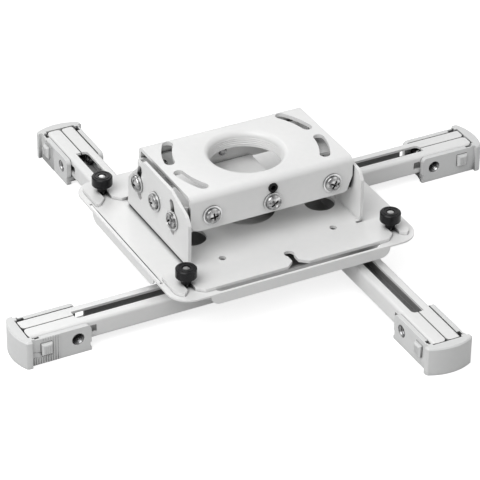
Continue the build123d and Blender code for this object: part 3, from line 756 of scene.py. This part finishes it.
@dataclass
class PhotoCamera:
    """The photograph's camera, as fitted to the object in it."""

    azimuth: float = -28.2327
    elevation: float = 32.7424
    roll: float = 0.9612
    lens: float = 210.0
    offset_right: float = -3.4612 * MM
    offset_up: float = -53.3172 * MM
    distance: float = 1678.907 * MM

    def build(self) -> None:
        """Makes the camera and gives it to the scene."""
        a, e, r = (math.radians(v) for v in (self.azimuth, self.elevation, self.roll))
        back = Vector((math.sin(a) * math.cos(e), -math.cos(a) * math.cos(e), math.sin(e)))
        right = Vector((math.cos(a), math.sin(a), 0.0))
        up = back.cross(right)
        rolled_right = math.cos(r) * right + math.sin(r) * up
        rolled_up = -math.sin(r) * right + math.cos(r) * up
        data = bpy.data.cameras.new("photo_camera")
        data.lens = self.lens
        data.sensor_width = 36.0
        data.clip_start, data.clip_end = 0.05, 20.0
        camera = stand("photo_camera", data)
        turn = Matrix((rolled_right, rolled_up, back)).transposed().to_4x4()
        place = rolled_right * self.offset_right + rolled_up * self.offset_up + back * self.distance
        camera.matrix_world = Matrix.Translation(place) @ turn
        bpy.context.scene.camera = camera


@dataclass
class Studio:
    """Pale floor, soft lamps and a white surround."""

    floor_size: float = 6.0
    floor_gap: float = 0.0002
    world_strength: float = 0.36
    floor_tone: float = 0.45
    floor_rough: float = 0.9
    floor_glow: float = 0.8
    aim: Triple = (0.0, 0.0, -0.04)
    lamps: Tuple[Tuple[str, Triple, float, float], ...] = (
        ("key", (-0.87, -0.38, 1.15), 1.2, 18.3),
        ("fill", (0.75, -0.6, 0.55), 0.5, 0.9),
        ("back", (0.2, 1.1, 1.1), 0.8, 4.0),
    )

    def build(self) -> None:
        """Builds the floor, the lamps and the world."""
        bpy.context.scene.view_settings.view_transform = "Standard"
        self._floor()
        for name, place, size, power in self.lamps:
            self._lamp(name, Vector(place), size, power)
        self._world()

    def _looked_at(self, nodes: bpy.types.Nodes,
                   links: bpy.types.NodeLinks) -> bpy.types.NodeSocket:
        """Mask of the rays that show the surroundings: straight, in metal or through glass.

        Args:
            nodes: nodes of the material or the world.
            links: their links.

        Returns:
            A socket that is 1 for those rays and 0 for the rest.
        """
        path = nodes.new("ShaderNodeLightPath")
        socket = path.outputs["Is Camera Ray"]
        for ray in ("Is Glossy Ray", "Is Transmission Ray"):
            either = nodes.new("ShaderNodeMath")
            either.operation = "MAXIMUM"
            links.new(socket, either.inputs[0])
            links.new(path.outputs[ray], either.inputs[1])
            socket = either.outputs[0]
        return socket

    def _floor(self) -> None:
        """A pale floor that shows white to the camera except where the object shades it."""
        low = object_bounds()[0].z - self.floor_gap
        half = self.floor_size / 2
        mesh = bpy.data.meshes.new("floor")
        signs = ((-1, -1), (1, -1), (1, 1), (-1, 1))
        mesh.from_pydata([(x * half, y * half, low) for x, y in signs], [], [(0, 1, 2, 3)])
        floor = stand("floor", mesh)
        material = bpy.data.materials.new("studio_floor")
        material.use_nodes = True
        nodes, links = material.node_tree.nodes, material.node_tree.links
        shader = nodes["Principled BSDF"]
        tune(shader, {"Base Color": (*[self.floor_tone] * 3, 1.0), "Roughness": self.floor_rough,
                      "Specular IOR Level": 0.0})
        glow = nodes.new("ShaderNodeEmission")
        glow.inputs["Color"].default_value = (1.0, 1.0, 1.0, 1.0)
        lift = nodes.new("ShaderNodeMath")
        lift.operation = "MULTIPLY"
        lift.inputs[1].default_value = self.floor_glow
        links.new(self._looked_at(nodes, links), lift.inputs[0])
        links.new(lift.outputs[0], glow.inputs["Strength"])
        both = nodes.new("ShaderNodeAddShader")
        links.new(shader.outputs["BSDF"], both.inputs[0])
        links.new(glow.outputs["Emission"], both.inputs[1])
        links.new(both.outputs["Shader"], nodes["Material Output"].inputs["Surface"])
        mesh.materials.append(material)
        floor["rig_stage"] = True

    def _lamp(self, name: str, place: Vector, size: float, power: float) -> None:
        """Adds one soft square lamp that looks at the object.

        Args:
            name: name of the lamp.
            place: where it hangs.
            size: side of the lamp.
            power: watts.
        """
        data = bpy.data.lights.new(name, "AREA")
        data.shape = "SQUARE"
        data.size = size
        data.energy = power
        lamp = stand(name, data)
        lamp.location = place
        lamp.rotation_mode = "QUATERNION"
        lamp.rotation_quaternion = (Vector(self.aim) - place).to_track_quat("-Z", "Y")

    def _world(self) -> None:
        """Even light from all round; white to the camera and in reflections."""
        world = bpy.data.worlds.new("surround")
        bpy.context.scene.world = world
        world.use_nodes = True
        nodes, links = world.node_tree.nodes, world.node_tree.links
        ground = nodes["Background"]
        ground.inputs["Color"].default_value = (1.0, 1.0, 1.0, 1.0)
        strength = nodes.new("ShaderNodeMapRange")
        tune(strength, {"To Min": self.world_strength, "To Max": 1.0})
        links.new(self._looked_at(nodes, links), strength.inputs["Value"])
        links.new(strength.outputs["Result"], ground.inputs["Strength"])


@dataclass
class PanHeadScrews:
    """The screws of the roll and tilt adjustments, each with a domed head and a cross recess."""

    head_r: float = 5.0 * MM
    head_h: float = 2.4 * MM
    rim_h: float = 0.9 * MM
    shank_r: float = 2.5 * MM
    point: float = 0.5 * MM
    arm: float = 2.9 * MM
    arm_half: float = 0.62 * MM
    arm_depth: float = 1.6 * MM
    arm_top: float = 3.6 * MM
    arm_low: float = 0.62
    arm_high: float = 1.28
    washer: float = 1.0 * MM
    pitch: float = 0.8 * MM
    groove: float = 0.5 * MM
    threads: int = 4
    crown_steps: int = 8
    facets: int = 48
    sharp: float = 34.0

    def _head(self, length: float) -> bpy.types.Object:
        """Makes one screw with z = 0 under its head.

        Args:
            length: length of the shank.

        Returns:
            A loose object with the finished mesh.
        """
        slopes = [math.pi / 2 * step / self.crown_steps for step in range(self.crown_steps)]
        crown = [(self.head_r * math.cos(slope),
                  self.rim_h + (self.head_h - self.rim_h) * math.sin(slope)) for slope in slopes]
        thread = []
        for turn in range(self.threads):
            low = self.point - length + turn * self.pitch
            thread += [(self.shank_r, low), (self.shank_r - self.groove, low + self.pitch / 2)]
        profile = [(0.0, -length), (self.shank_r - self.point, -length)] + thread + [
            (self.shank_r, self.point - length + self.threads * self.pitch), (self.shank_r, 0.0),
            (self.head_r, 0.0)] + crown + [(0.0, self.head_h)]
        screw = stand("screw", lathe("screw", profile, self.facets))
        cut_away(screw, stand("recess", self._recess()))
        shade(screw.data, self.sharp)
        return screw

    def _recess(self) -> bpy.types.Mesh:
        """Tapered cross that cuts the recess.

        Returns:
            Its mesh.
        """
        a, b = self.arm, self.arm_half
        outline = [(a, -b), (a, b), (b, b), (b, a), (-b, a), (-b, b), (-a, b), (-a, -b), (-b, -b),
                   (-b, -a), (b, -a), (b, -b)]
        ends = ((self.head_h - self.arm_depth, self.arm_low), (self.arm_top, self.arm_high))
        return loft("recess",
                    [[(x * scale, y * scale, z) for x, y in outline] for z, scale in ends])

    def _tree(self) -> bpy.types.NodeTree:
        """Tree that stands a screw at every mark.

        Returns:
            The tree.
        """
        tree = new_tree("screws_at_marks",
                        (("Screw", "Object"), ("Size", "Float"), ("Finish", "Material")))
        nodes, links = tree.nodes, tree.links
        shape = nodes.new("GeometryNodeObjectInfo")
        turn = nodes.new("GeometryNodeInputNamedAttribute")
        turn.data_type = "FLOAT_VECTOR"
        turn.inputs["Name"].default_value = "turn"
        copies = nodes.new("GeometryNodeInstanceOnPoints")
        feed(tree, ("Screw", shape.inputs["Object"]), ("Geometry", copies.inputs["Points"]),
             ("Size", copies.inputs["Scale"]))
        links.new(shape.outputs["Geometry"], copies.inputs["Instance"])
        links.new(turn.outputs["Attribute"], copies.inputs["Rotation"])
        finish_tree(tree, copies.outputs["Instances"])
        return tree

    def build(self, shop: Workshop, sets: Dict[str, Tuple[
            float, Sequence[float], Sequence[Tuple[Vector, Vector]]]]) -> None:
        """Makes every set of screws in place of its CAD node.

        Args:
            shop: materials and helpers.
            sets: for each CAD node the shank's length, the turn of each head in degrees, and for
                each screw the point of its washer's seat and its outward direction.
        """
        tree = self._tree()
        for node, (length, spins, seats) in sets.items():
            screw = self._head(length)
            places = [facing(point + outward * self.washer, outward, spin)
                      for (point, outward), spin in zip(seats, spins)]
            piece = grow(node + "_fine", marks(places), tree,
                         {"Screw": screw, "Size": 1.0, "Finish": shop.materials[Coat.SCREW]})
            shade(piece.data, self.sharp)
            bpy.data.objects.remove(screw)
            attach(piece, frame["nodes"][node]["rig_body"])
            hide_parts(node)


@dataclass
class PipeThread:
    """Thread inside the pipe collar, wound along a spiral."""

    radius: float = 22.6 * MM
    ridge: float = 0.42 * MM
    pitch: float = 1.3 * MM
    top: float = -3.3 * MM
    turns: float = 4.7
    facets: int = 72
    ridge_facets: int = 8
    sharp: float = 60.0

    def build(self, shop: Workshop) -> None:
        """Winds the thread.

        Args:
            shop: materials and helpers.
        """
        tree = new_tree("wound_thread",
                        (("Radius", "Float"), ("Pitch", "Float"), ("Turns", "Float"),
                         ("Ridge", "Float"), ("Top", "Vector"), ("Finish", "Material")))
        nodes, links = tree.nodes, tree.links
        spiral = nodes.new("GeometryNodeCurveSpiral")
        spiral.inputs["Resolution"].default_value = self.facets
        height, down = (nodes.new("ShaderNodeMath") for _ in range(2))
        for step in (height, down):
            step.operation = "MULTIPLY"
        down.inputs[1].default_value = -1.0
        section = nodes.new("GeometryNodeCurvePrimitiveCircle")
        section.inputs["Resolution"].default_value = self.ridge_facets
        feed(tree, ("Pitch", height.inputs[0]), ("Turns", height.inputs[1]),
             ("Turns", spiral.inputs["Rotations"]), ("Radius", spiral.inputs["Start Radius"]),
             ("Radius", spiral.inputs["End Radius"]), ("Ridge", section.inputs["Radius"]))
        links.new(height.outputs[0], down.inputs[0])
        links.new(down.outputs[0], spiral.inputs["Height"])
        skin = nodes.new("GeometryNodeCurveToMesh")
        skin.inputs["Fill Caps"].default_value = True
        links.new(spiral.outputs["Curve"], skin.inputs["Curve"])
        links.new(section.outputs["Curve"], skin.inputs["Profile Curve"])
        place = nodes.new("GeometryNodeTransform")
        links.new(skin.outputs["Mesh"], place.inputs["Geometry"])
        feed(tree, ("Top", place.inputs["Translation"]))
        finish_tree(tree, place.outputs["Geometry"])
        piece = grow("pipe_thread", bpy.data.meshes.new("start"), tree,
                     {"Radius": self.radius, "Pitch": self.pitch, "Turns": self.turns,
                      "Ridge": self.ridge, "Top": (0.0, 0.0, self.top),
                      "Finish": shop.materials[Coat.WHITE_POWDER]})
        shade(piece.data, self.sharp)
        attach(piece, frame["nodes"]["ceiling_bracket"]["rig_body"])


@dataclass
class CeilingHead:
    """Ceiling bracket, roll bracket and their screws."""

    sheet_edge: float = 0.35 * MM
    screw_edge: float = 0.12 * MM
    flange: float = 34.8 * MM
    roll_z: float = -16.1 * MM
    roll_lock_x: float = 40.4 * MM
    roll_lock_up: float = 2.0 * MM
    left_ear: float = 60.5 * MM
    right_ear: float = 58.0 * MM
    tilt_z: float = -18.7 * MM
    tilt_lock_r: float = 23.4 * MM
    roll_shank: float = 7.3 * MM
    tilt_shank: float = 6.8 * MM
    roll_pivot_spins: Tuple[float, ...] = (38.0, 12.0)
    roll_lock_spins: Tuple[float, ...] = (8.0, 61.0, 27.0, 44.0)
    tilt_pivot_spins: Tuple[float, ...] = (20.0, 70.0)
    tilt_lock_spins: Tuple[float, ...] = (55.0, 5.0, 33.0, 80.0)

    def dress(self, shop: Workshop) -> None:
        """Finishes the pieces.

        Args:
            shop: materials and helpers.
        """
        shop.softened("ceiling_bracket", Coat.WHITE_POWDER, self.sheet_edge)
        shop.softened("roll_bracket", Coat.WHITE_POWDER, self.sheet_edge)
        shop.softened("pipe_set_screw", Coat.BLACK_OXIDE, self.screw_edge)
        for node in ("roll_washers", "tilt_washers"):
            shop.softened(node, Coat.ZINC, self.screw_edge)
        flanges = [(side * self.flange, Vector((0.0, side, 0.0))) for side in (-1.0, 1.0)]
        ears = [(-self.left_ear, Vector((-1.0, 0.0, 0.0))),
                (self.right_ear, Vector((1.0, 0.0, 0.0)))]
        lock_x, lock_y, lock_z = self.roll_lock_x, self.tilt_lock_r, self.roll_z + self.roll_lock_up
        PanHeadScrews().build(shop, {
            "roll_pivot_screws": (self.roll_shank, self.roll_pivot_spins, [
                (Vector((0.0, y, self.roll_z)), out) for y, out in flanges]),
            "roll_lock_screws": (self.roll_shank, self.roll_lock_spins, [
                (Vector((x, y, lock_z)), out) for y, out in flanges for x in (-lock_x, lock_x)]),
            "tilt_pivot_screws": (self.tilt_shank, self.tilt_pivot_spins, [
                (Vector((x, 0.0, self.tilt_z)), out) for x, out in ears]),
            "tilt_lock_screws": (self.tilt_shank, self.tilt_lock_spins, [
                (Vector((x, y, self.tilt_z)), out) for x, out in ears for y in (-lock_y, lock_y)]),
        })
        PipeThread().build(shop)


@dataclass
class TiltPlatform:
    """Tray, interface plate, hub pan and studs."""

    sheet_edge: float = 0.35 * MM
    plate_edge: float = 0.2 * MM
    stud_edge: float = 0.15 * MM
    pan_corner: float = 46.0 * MM
    pan_square: float = 10.0

    def _square_corners(self, pan: bpy.types.Object) -> None:
        """Draws the pan's corners out, so that they close the ends of the plate's window.

        Args:
            pan: the pan's skin.
        """
        for vertex in pan.data.vertices:
            out = Vector((abs(vertex.co.x) - self.pan_corner, abs(vertex.co.y) - self.pan_corner))
            if min(out) > 0.0:
                turned, power = out.normalized(), self.pan_square
                grown = out / (turned.x ** power + turned.y ** power) ** (1 / power)
                vertex.co.x = math.copysign(self.pan_corner + grown.x, vertex.co.x)
                vertex.co.y = math.copysign(self.pan_corner + grown.y, vertex.co.y)

    def dress(self, shop: Workshop) -> None:
        """Finishes the pieces.

        Args:
            shop: materials and helpers.
        """
        shop.softened("tilt_tray", Coat.WHITE_POWDER, self.sheet_edge)
        # The plate and the pan wear copies of the white coat with more painted shade in their gaps.
        shop.softened("interface_plate", Coat.WHITE_PLATE, self.plate_edge)
        self._square_corners(shop.softened("hub_pan", Coat.WHITE_PAN, self.sheet_edge))
        shop.softened("lock_studs", Coat.SCREW, self.stud_edge)


@dataclass
class Knob:
    """One thumb knob with its bush and the raised ring on its top."""

    corner: str
    centre: Pair = (68.7 * MM, 57.0 * MM)
    top: float = -29.8 * MM
    ring_r: float = 4.5 * MM
    ring_w: float = 0.8 * MM
    ring_h: float = 0.35 * MM
    ring_soft: float = 0.21 * MM
    ring_root: float = 0.2 * MM
    facets: int = 48
    sharp: float = 60.0
    knob_edge: float = 0.15 * MM
    bush_edge: float = 0.1 * MM

    def _ring(self, shop: Workshop) -> None:
        """Adds the raised ring round the bore.

        Args:
            shop: materials and helpers.
        """
        inner, outer = self.ring_r - self.ring_w / 2, self.ring_r + self.ring_w / 2
        low, high, soft = -self.ring_root, self.ring_h, self.ring_soft
        profile = [(inner, low), (inner, high - soft), (inner + soft, high), (outer - soft, high),
                   (outer, high - soft), (outer, low), (inner, low)]
        name = f"knob_{self.corner}_ring"
        mesh = lathe(name, profile, self.facets)
        x, y = self.centre
        mesh.transform(Matrix.Translation((x if self.corner[1] == "r" else -x,
                                           y if self.corner[0] == "b" else -y, self.top)))
        shade(mesh, self.sharp)
        ring = stand(name, mesh)
        shop.paint(ring, Coat.KNOB_PLASTIC)
        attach(ring, frame["nodes"][f"knob_{self.corner}"]["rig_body"])

    def dress(self, shop: Workshop) -> None:
        """Finishes the pieces.

        Args:
            shop: materials and helpers.
        """
        shop.softened(f"knob_{self.corner}", Coat.KNOB_PLASTIC, self.knob_edge)
        shop.softened(f"knob_insert_{self.corner}", Coat.BRASS, self.bush_edge)
        self._ring(shop)


def leg_frame(end: Pair, along: Pair) -> Matrix:
    """Frame of a leg: x runs outward from the end of its lips, y to its left and z up.

    Args:
        end: middle of the end of its lips from above, in millimetres.
        along: its outward direction.

    Returns:
        The frame, in metres.
    """
    a, b = along
    return Matrix(((a, -b, 0.0, end[0] * MM), (b, a, 0.0, end[1] * MM), (0.0, 0.0, 1.0, 0.0),
                   (0.0, 0.0, 0.0, 1.0)))


LEG_FRAMES = {
    "fl": leg_frame((-164.3, -36.8), (-1.0, 0.0)),
    "fr": leg_frame((50.0, -156.0), (0.0, -1.0)),
    "bl": leg_frame((-50.0, 160.5), (0.0, 1.0)),
    "br": leg_frame((179.5, 36.8), (1.0, 0.0)),
}


def rib_row_tree() -> bpy.types.NodeTree:
    """Tree that lays a row of equal ribs.

    Returns:
        The tree.
    """
    tree = new_tree("rib_row", (("Count", "Int"), ("Start", "Vector"), ("Step", "Vector"),
                                ("Rib size", "Vector"), ("Finish", "Material")))
    row = tree.nodes.new("GeometryNodeMeshLine")
    rib = tree.nodes.new("GeometryNodeMeshCube")
    copies = tree.nodes.new("GeometryNodeInstanceOnPoints")
    feed(tree, ("Count", row.inputs["Count"]), ("Start", row.inputs["Start Location"]),
         ("Step", row.inputs["Offset"]), ("Rib size", rib.inputs["Size"]))
    tree.links.new(row.outputs["Mesh"], copies.inputs["Points"])
    tree.links.new(rib.outputs["Mesh"], copies.inputs["Instance"])
    finish_tree(tree, copies.outputs["Instances"])
    return tree


@dataclass(frozen=True)
class RibRow:
    """A row of equal upright ribs on a moulded face of an end cap; names take the corner."""

    name: str
    node: str
    count: int
    start: float
    face: float
    low: float
    high: float
    pitch: float
    width: float
    proud: float

    def build(self, shop: Workshop, corner: str, tree: bpy.types.NodeTree) -> None:
        """Lays the row.

        Args:
            shop: materials and helpers.
            corner: which leg.
            tree: the rib tree.
        """
        place = LEG_FRAMES[corner]
        turn = place.to_3x3()
        size = turn @ Vector((self.width, 2 * self.proud, self.high - self.low))
        ribs = grow(self.name.format(corner), bpy.data.meshes.new("start"), tree, {
            "Count": self.count,
            "Start": tuple(place @ Vector((self.start, self.face, (self.low + self.high) / 2))),
            "Step": tuple(turn @ Vector((self.pitch, 0.0, 0.0))),
            "Rib size": tuple(abs(side) for side in size),
            "Finish": shop.materials[Coat.CAP_PLASTIC]})
        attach(ribs, frame["nodes"][self.node.format(corner)]["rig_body"])


CHEEK_RIBS = RibRow(
    "cap_ribs_{}_full", "end_cap_{}", count=3, start=-17.2 * MM, face=12.9 * MM, low=-74.3 * MM,
    high=-57.2 * MM, pitch=1.55 * MM, width=0.85 * MM, proud=0.3 * MM)
BUTTON_RIBS = RibRow(
    "button_ribs_{}_a", "latch_button_{}_a", count=4, start=-11.0 * MM, face=15.2 * MM,
    low=-67.0 * MM, high=-61.6 * MM, pitch=1.2 * MM, width=0.55 * MM, proud=0.2 * MM)
RIB_ROWS = (
    CHEEK_RIBS,
    replace(CHEEK_RIBS, name="cap_ribs_{}_low", count=8, start=-12.55 * MM, high=-69.4 * MM),
    replace(CHEEK_RIBS, name="cap_ribs_{}_high", count=5, start=-12.55 * MM, low=-59.2 * MM),
    BUTTON_RIBS,
    replace(BUTTON_RIBS, name="button_ribs_{}_b", node="latch_button_{}_b", face=-BUTTON_RIBS.face),
)


@dataclass
class CapBushes:
    """The two threaded bushes in the cheeks of an end cap."""

    along: float = -29.5 * MM
    height: float = -64.6 * MM
    outer_r: float = 3.9 * MM
    bore_r: float = 3.175 * MM
    root_r: float = 3.6 * MM
    face: float = 12.1 * MM
    inner: float = 5.5 * MM
    crests: int = 5
    lead_in: float = 0.25 * MM
    relief: float = 0.15 * MM
    facets: int = 40
    sharp: float = 30.0

    def build(self, shop: Workshop, corner: str) -> None:
        """Turns both bushes of one cap.

        Args:
            shop: materials and helpers.
            corner: which leg.
        """
        length = self.face - self.inner
        step = (length - 2 * self.lead_in) / self.crests
        profile = [(self.bore_r, 0.0), (self.outer_r, 0.0), (self.outer_r, length),
                   (self.root_r + self.relief, length)]
        for crest in range(self.crests):
            high = length - self.lead_in - crest * step
            profile += [(self.root_r, high), (self.bore_r, high - step / 2)]
        profile.append((self.bore_r, 0.0))
        bushes = bpy.data.meshes.new(f"cap_bushes_{corner}")
        with reworked(bushes) as joined:
            for side in (1, -1):
                mesh = lathe("bush", profile, self.facets)
                inward = Matrix.Translation((self.along, side * self.inner, self.height))
                mesh.transform(LEG_FRAMES[corner] @ inward
                               @ Matrix.Rotation(-side * math.pi / 2, 4, "X"))
                joined.from_mesh(mesh)
            bmesh.ops.remove_doubles(joined, verts=joined.verts, dist=SAME_POINT)
            bmesh.ops.recalc_face_normals(joined, faces=joined.faces)
        shade(bushes, self.sharp)
        piece = stand(f"cap_bushes_{corner}", bushes)
        shop.paint(piece, Coat.BUSH)
        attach(piece, frame["nodes"][f"cap_inserts_{corner}"]["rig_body"])
        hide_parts(f"cap_inserts_{corner}")


@dataclass
class Leg:
    """One leg with its end cap, bushes, buttons and clamp."""

    corner: str
    rib_tree: bpy.types.NodeTree
    groove_r: float = 0.36 * MM
    groove_facets: int = 10
    groove: Tuple[Pair, ...] = (
        (-0.2 * MM, -65.5 * MM), (-2.2 * MM, -65.5 * MM), (-4.0 * MM, -65.9 * MM),
        (-5.3 * MM, -66.5 * MM))
    cheek_face: float = 12.9 * MM
    shoulder: Pair = (-2.6 * MM, 0.3 * MM)
    shoulder_size: Pair = (4.0 * MM, 24.0 * MM)
    shoulder_z: float = -65.5 * MM
    pocket: Tuple[Triple, Triple] = (
        (-3.17 * MM, 10.53 * MM, -57.57 * MM), (4.63 * MM, 2.17 * MM, 4.93 * MM))
    seam_length: float = 34.0 * MM
    seam_width: float = 0.85 * MM
    seam_sunk: float = 0.6 * MM
    seam_tall: float = 5.0 * MM
    leg_top: float = -56.5 * MM
    clear: float = 1.0 * MM
    slot_depth: float = 2.4 * MM
    lip_depth: float = 1.7 * MM
    lip_past: float = 0.3 * MM
    slot: Pair = (-140.0 * MM, -32.5 * MM)
    slot_half: float = 3.75 * MM
    slot_round: float = 2.8 * MM
    slot_steps: int = 9
    lip_round: float = 2.6 * MM
    lip_steps: int = 6
    lip_edges: Tuple[Tuple[float, int], ...] = ((0.43 * MM, 1), (9.5 * MM, -1))
    box_inside: Triple = (7.96 * MM, -67.7 * MM, -58.0 * MM)
    moulded_edge: float = 0.15 * MM
    folded_edge: float = 0.2 * MM

    @property
    def place(self) -> Matrix:
        """The leg's frame."""
        return LEG_FRAMES[self.corner]

    def _groove(self) -> bpy.types.Object:
        """Shape of the short moulded groove beside the button on the left cheek.

        Returns:
            The shape, to be cut out of the cap.
        """
        path = [self.place @ Vector((along, self.cheek_face, height))
                for along, height in self.groove]
        return rod("groove", path, self.groove_r, self.groove_facets)

    def _shoulders(self) -> List[bpy.types.Object]:
        """Shapes that trim the back of the end block's shoulders flush with the cheeks.

        Returns:
            One box for each side.
        """
        low, high = self.shoulder
        width, tall = self.shoulder_size
        out = self.cheek_face + width / 2
        return [block("shoulder", self.place,
                      Vector(((low + high) / 2, side * out, self.shoulder_z)),
                      Vector((high - low, width, tall))) for side in (1, -1)]

    def _pockets(self) -> List[bpy.types.Object]:
        """Shapes of the small moulded pockets in the cheeks' tops, beside the end of the leg.

        Returns:
            One box for each side.
        """
        (along, out, height), size = self.pocket
        return [block("pocket", self.place, Vector((along, side * out, height)), Vector(size))
                for side in (1, -1)]

    def _seam(self) -> bpy.types.Object:
        """Shape that opens the seam between the leg's lips to its width at the surface.

        Returns:
            The shape, to be cut out of the leg.
        """
        middle = Vector((self.clear - self.seam_length / 2, 0.0, self.leg_top - self.seam_sunk))
        return block("seam", self.place, middle,
                     Vector((self.seam_length + 2 * self.clear, self.seam_width, self.seam_tall)))

    def _through_top(self, name: str, outline: Sequence[Pair], depth: float) -> bpy.types.Object:
        """Makes a shape that cuts through the leg's top sheet.

        Args:
            name: its name.
            outline: its corners from above, in the leg's frame.
            depth: how far it goes down from the top.

        Returns:
            The shape.
        """
        return prism(name, self.place, outline, self.leg_top - depth, self.leg_top + self.clear)

    def _slot(self) -> bpy.types.Object:
        """Shape of the long slot at its full width, with one round corner by the lips.

        Returns:
            The shape, to be cut out of the leg.
        """
        (far, near), half, r = self.slot, self.slot_half, self.slot_round
        side = 1.0 if self.corner in ("fl", "br") else -1.0
        outline = [(near - r + x, side * (half - r + y)) for x, y in quarter(r, self.slot_steps)]
        outline += [(far, side * half), (far, -side * half), (near, -side * half)]
        return self._through_top("slot", outline, self.slot_depth)

    def _lip_corners(self) -> List[bpy.types.Object]:
        """Shapes that round the corners of the two lips at the end of the leg.

        Returns:
            The shapes, to be cut out of the leg.
        """
        past, r = self.lip_past, self.lip_round
        shapes = []
        for side in (1, -1):
            for edge, inward in self.lip_edges:
                outline = [(x - r, edge + inward * (r - y)) for x, y in quarter(r, self.lip_steps)]
                outline += [(-r, edge - inward * past), (past, edge - inward * past),
                            (past, edge + inward * r)]
                shapes.append(self._through_top("lip_corner", [(x, side * y) for x, y in outline],
                                                self.lip_depth))
        return shapes

    def _bare_inside(self, shop: Workshop, leg: bpy.types.Object) -> None:
        """Gives the inner faces of the leg's box a darker finish: partly a guessed bare inside,
        partly painted shade.

        Args:
            shop: materials and helpers.
            leg: the leg's skin.
        """
        leg.data.materials.append(shop.materials[Coat.BARE_INSIDE])
        back = self.place.inverted()
        half, low, high = self.box_inside
        for face in leg.data.polygons:
            centre = back @ face.center
            if abs(centre.y) < half and low < centre.z < high:
                face.material_index = 1

    def dress(self, shop: Workshop) -> None:
        """Finishes the pieces.

        Args:
            shop: materials and helpers.
        """
        corner = self.corner
        leg = shop.softened(f"leg_{corner}", Coat.WHITE_POWDER, self.folded_edge,
                            cutters=[self._seam(), self._slot()] + self._lip_corners())
        self._bare_inside(shop, leg)
        cap = shop.softened(f"end_cap_{corner}", Coat.CAP_PLASTIC, self.moulded_edge,
                            cutters=self._shoulders())
        settle(cap)
        for shape in [self._groove()] + self._pockets():
            cut_away(cap, shape)
        CapBushes().build(shop, corner)
        for node, coat in ((f"latch_button_{corner}_a", Coat.CAP_PLASTIC),
                           (f"latch_button_{corner}_b", Coat.CAP_PLASTIC),
                           (f"clamp_bolt_{corner}", Coat.ZINC), (f"clamp_nut_{corner}", Coat.ZINC)):
            shop.softened(node, coat, self.moulded_edge)
        for row in RIB_ROWS:
            row.build(shop, corner, self.rib_tree)


def main() -> None:
    """Builds every sub-assembly, the studio and the camera, and logs each sub-assembly as it is
    dressed.
    """
    logging.basicConfig(level=logging.INFO, format="%(name)s: %(message)s")
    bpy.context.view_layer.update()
    shop = Workshop(SurfaceEffects())
    rib_tree = rib_row_tree()
    parts: List = [CeilingHead(), TiltPlatform()]
    parts += [Knob(corner) for corner in CORNERS]
    parts += [Leg(corner, rib_tree) for corner in CORNERS]
    for part in parts:
        part.dress(shop)
        LOG.info("dressed %s %s", type(part).__name__, getattr(part, "corner", ""))
    Studio().build()
    PhotoCamera().build()


if __name__ == "__main__":
    main()
